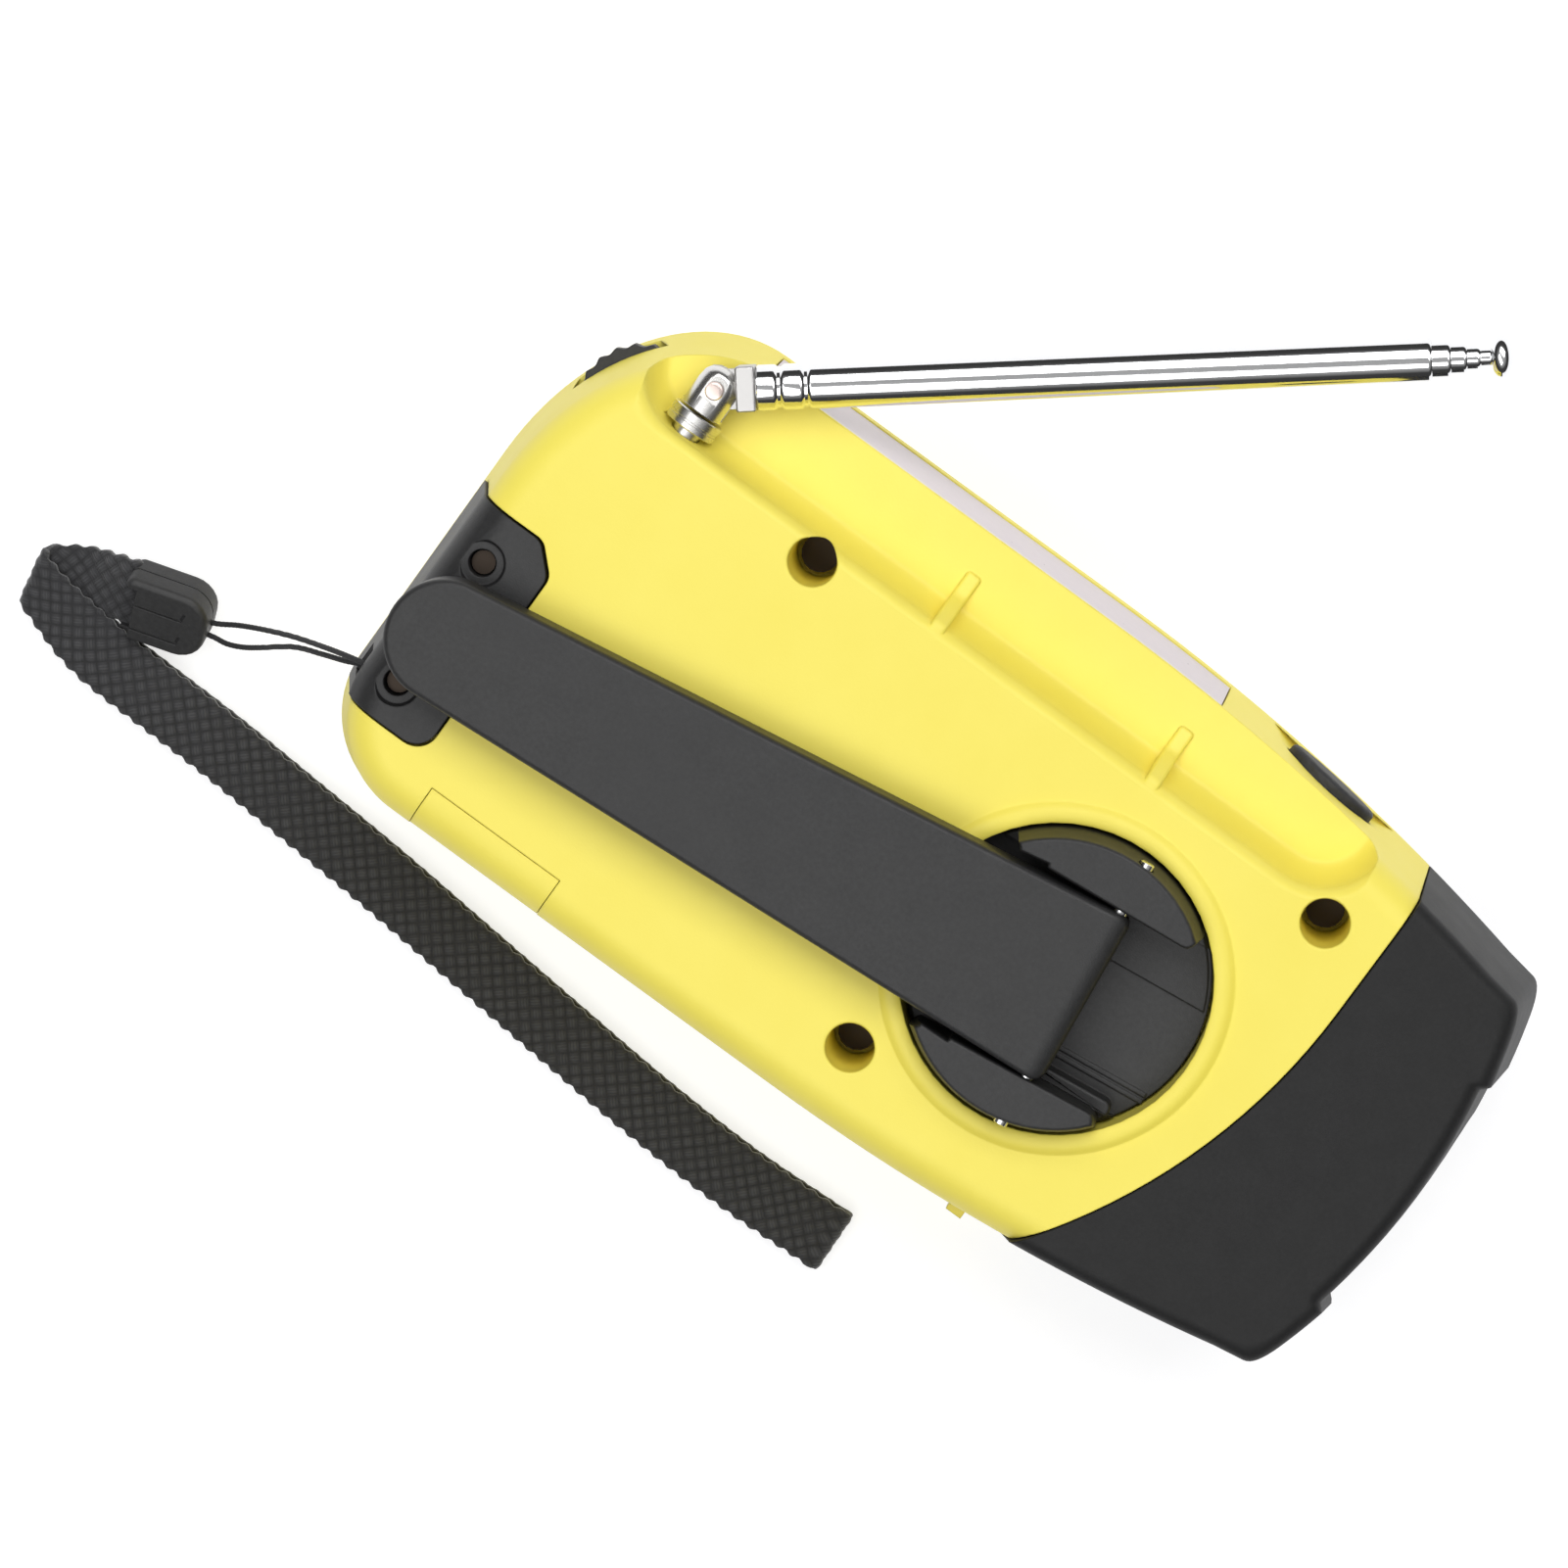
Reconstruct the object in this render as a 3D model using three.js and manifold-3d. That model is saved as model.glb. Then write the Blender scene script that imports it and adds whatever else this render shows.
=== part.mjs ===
// Hand-crank emergency radio, lying on its front face with its back and its crank upwards.
// Millimetres. +X runs from the strap end to the lamp end, +Y to the antenna side, +Z up out of the back.
// The origin is the centre of the front rest face.
import * as THREE from "three";
import { mergeVertices } from "three/addons/utils/BufferGeometryUtils.js";
import Module from "manifold-3d";

const wasm = await Module();
wasm.setup();

// ---------------------------------------------------------------- driving dimensions
const caseLength = 159;
const caseWidth = 81;
const caseHeight = 44;
const wall = 2; // plastic wall of both case halves
const fit = 0.3; // gap between pieces that are laid into each other
const edgeRadius = 5.5; // rounding from the sides to the back and to the front
const sideDraft = 2.5; // how far each side leans in from the parting line to the rounding
const sideArcRadius = 320; // both long sides run in on this arc towards the lamp end
const lampEndArcRadius = 98;
const strapCornerRadius = 14.3;
const antennaCornerRun = 23.5; // the big corner beside the antenna, along X and along Y
const antennaCornerRise = 32.5;
const bumperLength = 25.6; // lamp end to the seam, on the antenna side
const bumperWall = 2.6;
const bumperEdgeRadius = 2.4; // crisper than the case's own edge
const seamArcRadius = 85;
const seamArcStartY = 15;
const lugProud = 1.3;
const lugInnerY = 19.4;

const hubFromLampEnd = 58;
const hubY = -3.2;
const hubRadius = 20.4;
const hubGap = 0.4;
const recessFloor = 33; // height of the floor of the hub recess
const rimWidth = 2.4;
const rimHeight = 0.8;
const crankSlant = THREE.MathUtils.degToRad(6.6);
const armThickness = 5.8;
const armGap = 0.4; // between the arm and the rim that it crosses
const armHubHalfWidth = 12.45;
const armTipHalfWidth = 8.2;
const armTailLength = 4.8; // from the hub's centre to the square end
const armTipFromStrapEnd = 1.7;
const hingeFromHub = 2.8;
const hingePinRadius = 1;
const runningGap = 0.15;
const gripRadius = 2.3;
const gripLength = 20.7;
const gripPostRadius = 1.2;

const studFromStrapEnd = 19.1;
const rodFromSide = 7.5; // antenna axis in from the widest line of the case
const rodBelowBack = 4.8;
const rodRadius = 3.05; // outermost tube
const tubeWall = 0.3;
const tubeStep = 0.47; // each tube is this much smaller in radius than the one outside it
const rodSwungOut = THREE.MathUtils.degToRad(38.4);
const tipButtonRadius = 3;
const channelDepth = 8.8;
const channelInnerWall = 12; // channel's inner foot, in from the widest line of the case
const channelSlope = 3;
const channelPastTip = 2.4;

const wellRadius = 3.25;
const wellDepth = 17;
const bossWall = 1.6;
const windowHeight = 8.6;
const windowFromStud = 4.4;
const windowLength = 74;
const gearModule = 1.2;
const wheelTeeth = 24;
const pinionTeeth = 8;
const cordRadius = 0.4;
const strapWidth = 9.5;
const strapLayer = 1.6; // one run of the webbing
const strapStack = 3.6; // both runs, one on the other

// ---------------------------------------------------------------- derived places
const strapEndX = -caseLength / 2;
const lampEndX = caseLength / 2;
const halfWidth = caseWidth / 2;
const partingZ = caseHeight / 2;
const hubX = lampEndX - hubFromLampEnd;
const seamX = lampEndX - bumperLength;
const taperStartX = lampEndX - 79.5;
const studX = strapEndX + studFromStrapEnd;
const rodY = halfWidth - rodFromSide;
const rodZ = caseHeight - rodBelowBack;
const channelFloorZ = caseHeight - channelDepth;
const channelEndX = seamX - 7.2;
const rodLength = channelEndX - channelPastTip - studX;
const armBottomZ = caseHeight + rimHeight + armGap;
const armTopZ = armBottomZ + armThickness;
const hingeZ = (armBottomZ + armTopZ) / 2;

// ---------------------------------------------------------------- materials
const paint = (color, roughness, metalness = 0) =>
  new THREE.MeshStandardMaterial({ color, roughness, metalness });
const yellowPlastic = paint(0xf6e35a, 0.5);
const blackPlastic = paint(0x36363a, 0.6);
const softBlack = paint(0x2c2c2e, 0.8);
const chrome = paint(0xd8dade, 0.12, 1);
const steel = paint(0x9fa3a8, 0.35, 1);
const clearPlastic = paint(0xd7cfd2, 0.25);
const boardGreen = paint(0x1f5a36, 0.6);
const gearWhite = paint(0xe8e6df, 0.5);
const cellBlue = paint(0x2f62a8, 0.5);
const solarBlue = paint(0x161c3c, 0.2);
const ferriteGrey = paint(0x3c3a3a, 0.7);
const copper = paint(0xb4693a, 0.4, 1);
const pointerRed = paint(0xc0281c, 0.5);
const webbingBlack = paint(0x2f2f31, 0.95);

// ---------------------------------------------------------------- shapes and solids
function box(x0, x1, y0, y1, z0, z1) {
  const geometry = new THREE.BoxGeometry(x1 - x0, y1 - y0, z1 - z0);
  return geometry.translate((x0 + x1) / 2, (y0 + y1) / 2, (z0 + z1) / 2);
}

function cylinderZ(radius, z0, z1, x = 0, y = 0, sides = 32) {
  const geometry = new THREE.CylinderGeometry(radius, radius, z1 - z0, sides);
  return geometry.rotateX(Math.PI / 2).translate(x, y, (z0 + z1) / 2);
}

function cylinderX(radius, x0, x1, y = 0, z = 0, sides = 20) {
  const geometry = new THREE.CylinderGeometry(radius, radius, x1 - x0, sides);
  return geometry.rotateZ(Math.PI / 2).translate((x0 + x1) / 2, y, z);
}

function cylinderY(radius, y0, y1, x = 0, z = 0, sides = 20) {
  const geometry = new THREE.CylinderGeometry(radius, radius, y1 - y0, sides);
  return geometry.translate(x, (y0 + y1) / 2, z);
}

// A round piece about the X axis, from points of distance along X and radius.
function turnedX(profile, sides = 20) {
  const points = profile.map(([along, radius]) => new THREE.Vector2(radius, along));
  return new THREE.LatheGeometry(points, sides).rotateZ(-Math.PI / 2);
}

function turnedZ(profile, sides = 32) {
  const points = profile.map(([radius, height]) => new THREE.Vector2(radius, height));
  return new THREE.LatheGeometry(points, sides).rotateX(Math.PI / 2);
}

function tubeX(outer, inner, x0, x1, sides = 20) {
  return turnedX([[x0, inner], [x0, outer], [x1, outer], [x1, inner], [x0, inner]], sides);
}

function prism(points, z0, z1) {
  const shape = new THREE.Shape(points);
  const geometry = new THREE.ExtrudeGeometry(shape, { depth: z1 - z0, bevelEnabled: false });
  return geometry.translate(0, 0, z0);
}

// A prism whose top and bottom edges are rounded. Its widest outline is the given one.
function roundedPrism(points, z0, z1, round, segments) {
  const geometry = new THREE.ExtrudeGeometry(new THREE.Shape(points), {
    depth: z1 - z0 - 2 * round,
    bevelThickness: round,
    bevelSize: round,
    bevelOffset: -round,
    bevelSegments: segments,
  });
  return geometry.translate(0, 0, z0 + round);
}

function solid(geometry) {
  const bare = geometry.clone();
  bare.deleteAttribute("normal");
  bare.deleteAttribute("uv");
  const merged = mergeVertices(bare, 1e-4);
  return new wasm.Manifold(
    new wasm.Mesh({
      numProp: 3,
      vertProperties: merged.getAttribute("position").array,
      triVerts: new Uint32Array(merged.index.array),
    }),
  );
}

const toSolid = (piece) => (piece.isBufferGeometry ? solid(piece) : piece);
const join = (first, ...rest) => rest.reduce((sum, piece) => sum.add(toSolid(piece)), toSolid(first));
const cut = (first, ...rest) => rest.reduce((sum, piece) => sum.subtract(toSolid(piece)), toSolid(first));
const common = (first, second) => toSolid(first).intersect(toSolid(second));

function asGeometry(piece) {
  if (piece.isBufferGeometry) return piece;
  const { vertProperties, triVerts } = piece.getMesh();
  const geometry = new THREE.BufferGeometry();
  geometry.setAttribute("position", new THREE.BufferAttribute(vertProperties, 3));
  geometry.setIndex(new THREE.BufferAttribute(triVerts, 1));
  geometry.computeVertexNormals();
  return geometry;
}

function addMesh(parent, name, piece, material) {
  const mesh = new THREE.Mesh(asGeometry(piece), material);
  mesh.name = name;
  parent.add(mesh);
  return mesh;
}

function arcPoints(centreX, centreY, radiusX, radiusY, from, to, steps) {
  return Array.from({ length: steps + 1 }, (_, i) => {
    const angle = from + ((to - from) * i) / steps;
    return new THREE.Vector2(centreX + radiusX * Math.cos(angle), centreY + radiusY * Math.sin(angle));
  });
}

// ---------------------------------------------------------------- the case's outer form
function sideReach(x, inset) {
  const radius = sideArcRadius - inset;
  const run = Math.max(0, x - taperStartX);
  return halfWidth - inset - radius + Math.sqrt(radius * radius - run * run);
}

function lampReach(y, inset, extra) {
  const radius = lampEndArcRadius;
  return lampEndX + extra - inset - radius + Math.sqrt(radius * radius - y * y);
}

// The lamp-end corner on the +Y side: a soft curve between the side's arc and the end's arc.
function lampCorner(inset, extra) {
  const cornerRun = 4.6;
  const sideX = lampEndX + extra - inset - 4.4 - cornerRun / 2;
  const sideY = sideReach(sideX, inset);
  const endY = sideY - cornerRun;
  const endX = lampReach(endY, inset, extra);
  const run = sideX - taperStartX;
  const sideSlope = -run / Math.sqrt((sideArcRadius - inset) ** 2 - run * run);
  const endSlope = -endY / Math.sqrt(lampEndArcRadius ** 2 - endY * endY);
  const meetX = (endX + endSlope * (sideY - sideSlope * sideX - endY)) / (1 - sideSlope * endSlope);
  const meetY = sideY + sideSlope * (meetX - sideX);
  const curve = new THREE.QuadraticBezierCurve(
    new THREE.Vector2(endX, endY),
    new THREE.Vector2(meetX, meetY),
    new THREE.Vector2(sideX, sideY),
  );
  return curve.getPoints(4);
}

function caseOutline(inset, lampExtra) {
  const width = halfWidth - inset;
  const strapX = strapEndX + inset;
  const corner = strapCornerRadius - inset;
  const bigRun = antennaCornerRun - inset;
  const bigRise = antennaCornerRise - inset;
  const lampEdge = lampCorner(inset, lampExtra);
  const side = [];
  const sideSteps = 6;
  for (let i = 0; i < sideSteps; i += 1) {
    const x = taperStartX + ((lampEdge[4].x - taperStartX) * i) / sideSteps;
    side.push(new THREE.Vector2(x, sideReach(x, inset)));
  }
  const end = [];
  for (const share of [0.66, 0.33]) {
    const y = lampEdge[0].y * share;
    end.push(new THREE.Vector2(lampReach(y, inset, lampExtra), y));
  }
  const mirror = (points) => points.map((p) => new THREE.Vector2(p.x, -p.y));
  const crown = [new THREE.Vector2(lampReach(0, inset, lampExtra), 0)];
  return [
    ...arcPoints(strapX + corner, -width + corner, corner, corner, Math.PI, 1.5 * Math.PI, 6),
    ...mirror(side),
    ...mirror(lampEdge).reverse(),
    ...mirror(end),
    ...crown,
    ...[...end].reverse(),
    ...lampEdge,
    ...[...side].reverse(),
    ...arcPoints(strapX + bigRun, width - bigRise, bigRun, bigRise, Math.PI / 2, Math.PI, 8),
  ];
}

// The whole case as one block, drawn in by inset all round: rounded edges, sides leaning in from the parting line.
function caseBlock(inset, segments = 2, lampExtra = 0, edge = edgeRadius) {
  const round = Math.max(edge - inset, 1.2);
  const geometry = new THREE.ExtrudeGeometry(new THREE.Shape(caseOutline(inset + round, lampExtra)), {
    depth: caseHeight - 2 * inset - 2 * round,
    steps: 2,
    bevelThickness: round,
    bevelSize: round,
    bevelSegments: segments,
  });
  geometry.translate(0, 0, inset + round);
  const places = geometry.getAttribute("position");
  const leanHeight = partingZ - edgeRadius;
  for (let i = 0; i < places.count; i += 1) {
    const lean = sideDraft * Math.min(1, Math.abs(places.getZ(i) - partingZ) / leanHeight);
    places.setX(i, places.getX(i) * (1 - lean / (caseLength / 2)));
    places.setY(i, places.getY(i) * (1 - lean / halfWidth));
  }
  return solid(geometry);
}

const wide = 400; // reaches past the object on every side

// Everything on the strap side of the seam, moved along X by shift.
function strapSideOfSeam(shift) {
  const edge = seamX + shift;
  const centreX = edge - seamArcRadius;
  const sweep = Math.asin((seamArcStartY + halfWidth + 8) / seamArcRadius);
  const arc = arcPoints(centreX, seamArcStartY, seamArcRadius, seamArcRadius, -sweep, 0, 10);
  const points = [
    new THREE.Vector2(-wide, -wide),
    new THREE.Vector2(arc[0].x, -wide),
    ...arc,
    new THREE.Vector2(edge, wide),
    new THREE.Vector2(-wide, wide),
  ];
  return solid(prism(points, -wide, wide));
}

// The trough that the folded antenna lies in, opened on the antenna side. grow makes it wider and deeper.
function antennaChannel(grow) {
  const corner = 6 + grow;
  const innerY = halfWidth - channelInnerWall - grow;
  const startX = studX - 7.4 - grow;
  const endX = channelEndX - channelSlope + grow;
  const points = [
    ...arcPoints(startX + corner, innerY + corner, corner, corner, Math.PI, 1.5 * Math.PI, 4),
    ...arcPoints(endX - corner, innerY + corner, corner, corner, 1.5 * Math.PI, 2 * Math.PI, 4),
    new THREE.Vector2(endX, halfWidth + 20),
    new THREE.Vector2(startX, halfWidth + 20),
  ];
  const geometry = new THREE.ExtrudeGeometry(new THREE.Shape(points), {
    depth: 10,
    bevelThickness: channelDepth,
    bevelSize: channelSlope,
    bevelSegments: 3,
  });
  return solid(geometry.translate(0, 0, caseHeight - grow));
}

// Two low ribs across the channel, which keep the folded antenna off the case.
const ribWidth = 2.2;
const ribPlaces = [0.392, 0.717].map((share) => studX + (channelEndX - studX) * share);

function antennaRib(x) {
  const foot = halfWidth - channelInnerWall;
  const top = caseHeight - 0.2;
  const points = [
    [foot - 4.6, top],
    [foot - 2.9, top],
    [foot + 0.9, channelFloorZ + 1.4],
    [foot + 4.4, channelFloorZ + 0.5],
    [foot + 4.4, channelFloorZ - 1],
    [foot - 4.6, channelFloorZ - 1],
  ].map(([y, z]) => new THREE.Vector2(y, z));
  const rib = prism(points, -ribWidth / 2, ribWidth / 2);
  // the profile's plane turns to stand across the channel: first up, then along Y
  rib.rotateX(Math.PI / 2).rotateZ(Math.PI / 2);
  return rib.translate(x, 0, 0);
}

// ---------------------------------------------------------------- strap bracket
const bracketY = -12.5;
const bracketHalf = 16.1;
const bracketDeep = 15.7; // from the strap end inwards
const bracketThick = 4.6;
const bracketLowZ = partingZ + 5;
const bracketScrewX = strapEndX + 7.5;
const bracketScrewYs = [bracketY + 9.1, bracketY - 10.4];
const cordPortY = bracketY - 11.8;
const cordPortZ = caseHeight - 8;

function bracketZone(grow) {
  const farX = strapEndX + bracketDeep + grow;
  const low = bracketY - bracketHalf - grow;
  const high = bracketY + bracketHalf + grow;
  const corner = 3.2;
  const points = [
    new THREE.Vector2(strapEndX - 20, low),
    ...arcPoints(farX - corner, low + corner, corner, corner, -Math.PI / 2, 0, 4),
    ...arcPoints(farX - corner, high - 2.4 * corner, corner, corner, 0, Math.PI / 4, 2),
    ...arcPoints(farX - 2 * corner, high - corner, corner, corner, Math.PI / 4, Math.PI / 2, 2),
    new THREE.Vector2(strapEndX - 20, high),
  ];
  return solid(prism(points, bracketLowZ - grow, wide));
}

function strapBracket() {
  const block = cut(common(caseBlock(0, 3), bracketZone(0)), caseBlock(bracketThick));
  const bar = cylinderY(0.8, cordPortY - 2.5, cordPortY + 2.5, strapEndX + 3.1, cordPortZ, 10);
  const port = box(strapEndX - 9, strapEndX + 5.4, cordPortY - 2.1, cordPortY + 2.1, cordPortZ - 3, cordPortZ + 3);
  const wells = bracketScrewYs.flatMap((y) => [
    cylinderZ(2.9, caseHeight - 0.4, caseHeight + 5, bracketScrewX, y, 24),
    cylinderZ(1.8, caseHeight - 3.4, caseHeight + 5, bracketScrewX, y, 20),
    cylinderZ(1.2, 20, caseHeight + 5, bracketScrewX, y, 12),
  ]);
  return join(cut(block, port, ...wells), bar);
}

// ---------------------------------------------------------------- pieces that the case is cut for
const collarRadius = rodRadius + 0.6;
const caseScrews = [
  [studX + 23.6, halfWidth - 18],
  [seamX - 8.3, halfWidth - 16.8],
  [hubX - 16.6, hubY - 23.7],
];
const windowX0 = studX + windowFromStud;
const windowX1 = windowX0 + windowLength;
const windowZ1 = channelFloorZ - wall - 0.4;
const windowZ0 = windowZ1 - windowHeight;
const buttonX = channelEndX - 10.3;
const buttonZ = 27.5;
const buttonHalfLong = 7.2;
const buttonHalfHigh = 4.2;
const slideX = hubX + 8.4;
const slideZ = 26.3;
const slideTravel = 2;
const portX0 = strapEndX + 19.7;
const portX1 = portX0 + 20.4;
const portTopY = -halfWidth + 8.6;
const portLowZ = partingZ + 2.2;
const wheelRadius = 9;
const wheelX = strapEndX + 12;
const wheelY = halfWidth - 16.9;
const wheelZ0 = partingZ + 3;
const wheelZ1 = wheelZ0 + 3.2;
const lampY = 0;
const lampRadius = 13;
const bumperEndWall = 5.4;
const lensSeatX = lampEndX - 3.1;
const lensThick = 0.9;
const reflectorFrontX = lensSeatX - lensThick - 0.5;
const reflectorDeep = 17;
const solarX0 = 9;
const solarX1 = 42;
const solarHalfY = 25;
const dialX0 = -22;
const dialX1 = -12;
const dialHalfY = 21;
const speakerX = strapEndX + 33.5;
const knobX = strapEndX + 17.5;
const knobY = -24;
const bandX = strapEndX + 18;
const bandY = 24;

const sideAt = (x, z) => sideReach(x, 0) - (sideDraft * Math.abs(z - partingZ)) / (partingZ - edgeRadius);

const ovalY = (halfLong, halfHigh, y0, y1) => cylinderY(1, y0, y1, 0, 0, 28).scale(halfLong, 1, halfHigh);

// The button's own frame has its origin on the case's skin, and turns with the curve of the side.
const buttonTurn = -Math.asin(buttonX / sideArcRadius);
const buttonSkinY = sideAt(buttonX, buttonZ);
const atButton = (geometry) => geometry.rotateZ(buttonTurn).translate(buttonX, buttonSkinY, buttonZ);

// The case as one closed shell, before it is parted into its two halves.
function caseForm() {
  const spigot = common(
    caseBlock(bumperWall + fit),
    box(-wide, lampEndX - bumperEndWall - fit, -wide, wide, -wide, wide),
  );
  return join(common(caseBlock(0, 3), strapSideOfSeam(0)), spigot);
}

function caseCavity(kept) {
  const main = common(caseBlock(wall), strapSideOfSeam(-wall - bumperWall));
  const lampPart = common(
    caseBlock(bumperWall + fit + wall),
    box(-wide, lampEndX - bumperEndWall - fit - wall, -wide, wide, -wide, wide),
  );
  return cut(join(main, lampPart), ...kept);
}

function rearCase() {
  const top = box(-wide, wide, -wide, wide, partingZ, wide);
  const wellBottom = caseHeight - wellDepth;
  const kept = [
    antennaChannel(wall),
    cylinderZ(hubRadius + hubGap + wall, recessFloor - wall, wide, hubX, hubY, 32),
    cylinderY(5.4, rodY - 11, rodY - 4, studX, rodZ),
    cut(bracketZone(fit + wall), caseBlock(bracketThick + fit + wall)),
    ...caseScrews.map(([x, y]) => cylinderZ(wellRadius + bossWall, partingZ, wide, x, y, 20)),
  ];
  const rimTurn = hubRadius + hubGap;
  const rim = turnedZ(
    [
      [rimTurn, caseHeight - 1],
      [rimTurn + rimWidth, caseHeight - 1],
      [rimTurn + rimWidth, caseHeight + rimHeight * 0.4],
      [rimTurn + rimWidth * 0.7, caseHeight + rimHeight],
      [rimTurn, caseHeight + rimHeight],
      [rimTurn, caseHeight - 1],
    ],
    32,
  ).translate(hubX, hubY, 0);
  const shell = cut(common(caseForm(), top), common(caseCavity(kept), top));
  const recess = cylinderZ(rimTurn, recessFloor, wide, hubX, hubY, 32);
  const trimmed = cut(shell, antennaChannel(0), recess);
  const withRibs = join(trimmed, rim, ...ribPlaces.map(antennaRib));
  return cut(
    withRibs,
    cylinderZ(3.4, 20, wide, hubX, hubY, 20),
    cut(bracketZone(fit), caseBlock(bracketThick + fit)),
    ...bracketScrewYs.map((y) => cylinderZ(1.2, partingZ, wide, bracketScrewX, y, 12)),
    ...caseScrews.map(([x, y]) => cylinderZ(wellRadius, wellBottom, wide, x, y, 20)),
    ...caseScrews.map(([x, y]) => cylinderZ(1.7, 0, wide, x, y, 12)),
    cylinderY(2.2, rodY - 20, rodY, studX, rodZ, 16),
    cylinderY(collarRadius + fit, rodY - 6.6, rodY + 9, studX, rodZ, 20),
    box(windowX0 - fit, windowX1 + fit, halfWidth - 12, wide, windowZ0 - fit, windowZ1 + fit),
    atButton(ovalY(buttonHalfLong + fit, buttonHalfHigh + fit, -12, 12)),
    box(slideX - 1.6 - slideTravel, slideX + 1.6 + slideTravel, -wide, -halfWidth + 7, slideZ - 1.9, slideZ + 1.9),
    box(portX0 - fit, portX1 + fit, -wide, portTopY + fit, portLowZ - fit, wide),
    cylinderZ(wheelRadius + 0.5, wheelZ0 - 0.5, wheelZ1 + 0.5, wheelX, wheelY, 30),
    cylinderX(lampRadius + fit, lampEndX - 20, lampEndX, lampY, partingZ, 28),
  );
}

function frontCase() {
  const bottom = box(-wide, wide, -wide, wide, -wide, partingZ - fit);
  const kept = [
    ...caseScrews.map(([x, y]) => cylinderZ(3, -1, partingZ, x, y, 16)),
    box(solarX0 - wall, solarX1 + wall, -solarHalfY - wall, solarHalfY + wall, -1, 4.2),
    cylinderZ(8.4, -1, 5.6, knobX, knobY, 24),
    box(bandX - 8, bandX + 8, bandY - 5, bandY + 5, -1, 4.4),
  ];
  const shell = cut(common(caseForm(), bottom), common(caseCavity(kept), bottom));
  const slots = [-12, -8, -4, 0, 4, 8, 12].map((y) => {
    const half = Math.sqrt(15 * 15 - y * y);
    return box(speakerX - half, speakerX + half, y - 0.8, y + 0.8, -1, wall + 1);
  });
  return cut(
    shell,
    ...caseScrews.map(([x, y]) => cylinderZ(1.3, 6, wide, x, y, 12)),
    ...slots,
    box(solarX0, solarX1, -solarHalfY, solarHalfY, -1, 2.2),
    box(dialX0, dialX1, -dialHalfY, dialHalfY, -1, 4),
    cylinderZ(6.5, -1, 3.6, knobX, knobY, 24),
    cylinderZ(1.5, -1, 8, knobX, knobY, 12),
    box(bandX - 6, bandX + 6, bandY - 2.6, bandY + 2.6, -1, 2.6),
    box(bandX - 4.2, bandX + 4.2, bandY - 0.9, bandY + 0.9, -1, 6),
    cylinderX(lampRadius + fit, lampEndX - 20, lampEndX, lampY, partingZ, 28),
  );
}

function endBumper() {
  const lugs = [1, -1].map((side) =>
    common(
      caseBlock(0, 3, lugProud, bumperEdgeRadius),
      box(lampEndX - 9, wide, side > 0 ? lugInnerY : -wide, side > 0 ? wide : -lugInnerY, -wide, wide),
    ),
  );
  const hollow = common(
    caseBlock(bumperWall),
    box(-wide, lampEndX - bumperEndWall, -wide, wide, -wide, wide),
  );
  return cut(
    join(caseBlock(0, 3, 0, bumperEdgeRadius), ...lugs),
    strapSideOfSeam(fit),
    hollow,
    cylinderX(lampRadius + fit, lampEndX - 12, lensSeatX, lampY, partingZ, 28),
    cylinderX(lampRadius - 0.8, lampEndX - 12, lampEndX + 9, lampY, partingZ, 28),
  );
}

// ---------------------------------------------------------------- antenna
const clevisRadius = rodRadius + 0.1;
const tangThick = 2;
const blockStart = clevisRadius + 0.4;
const tubeStart = blockStart + 1.9;
const tubeEnd = rodLength - 10.8;
const sectionTravel = tubeEnd - tubeStart - 13;
const sectionEnds = [tubeEnd, tubeEnd + 2.5, tubeEnd + 4.6, tubeEnd + 6.4];

function antennaStud() {
  const shank = cylinderY(2, rodY - 17, rodY - 6, studX, rodZ, 16);
  const collar = cylinderY(collarRadius, rodY - 6.3, rodY - 3.9, studX, rodZ, 20);
  return join(shank, collar);
}

// Fork that turns on the stud. Its slot lies flat, so the rod swings in the plane of the back.
function antennaClevis() {
  const body = cylinderY(clevisRadius, rodY - 3.6, rodY, studX, rodZ, 20);
  const nose = common(
    cylinderZ(clevisRadius, rodZ - clevisRadius, rodZ + clevisRadius, studX, rodY, 20),
    cylinderY(clevisRadius, rodY - 3, rodY + clevisRadius + 1, studX, rodZ, 20),
  );
  const slot = box(studX - 9, studX + 9, rodY - 3.1, rodY + 9, rodZ - tangThick / 2 - 0.15, rodZ + tangThick / 2 + 0.15);
  return cut(join(body, nose), slot, cylinderZ(1.05, rodZ - 9, rodZ + 9, studX, rodY, 12));
}

// The rod's own frame has its origin on the pivot and its X axis along the rod.
function antennaTang() {
  const plate = join(
    cylinderZ(2.7, -tangThick / 2, tangThick / 2, 0, 0, 20),
    box(0, blockStart + 1, -2.7, 2.7, -tangThick / 2, tangThick / 2),
  );
  const block = box(blockStart, tubeStart - 0.1, -rodRadius, rodRadius, -rodRadius + 0.2, rodRadius - 0.2);
  const plug = cylinderX(rodRadius - tubeWall - 0.2, blockStart + 1, tubeStart + 4.6);
  return cut(join(plate, block, plug), cylinderZ(1.05, -9, 9, 0, 0, 12));
}

function antennaSection(index) {
  const outer = rodRadius - tubeStep * index;
  const start = tubeStart + (index ? 4.7 + index * 0.4 : 0);
  return tubeX(outer, outer - tubeWall, start, sectionEnds[index]);
}

function antennaTip() {
  const core = rodRadius - tubeStep * 4 + 0.05;
  const neck = sectionEnds[3] + 1.2;
  return turnedX([
    [tubeStart + 6.6, 0],
    [tubeStart + 6.6, core],
    [neck, core],
    [neck + 0.4, tipButtonRadius * 0.86],
    [neck + 1.4, tipButtonRadius],
    [neck + 2.2, tipButtonRadius * 0.9],
    [rodLength - 0.2, tipButtonRadius * 0.45],
    [rodLength, 0],
  ]);
}

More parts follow.
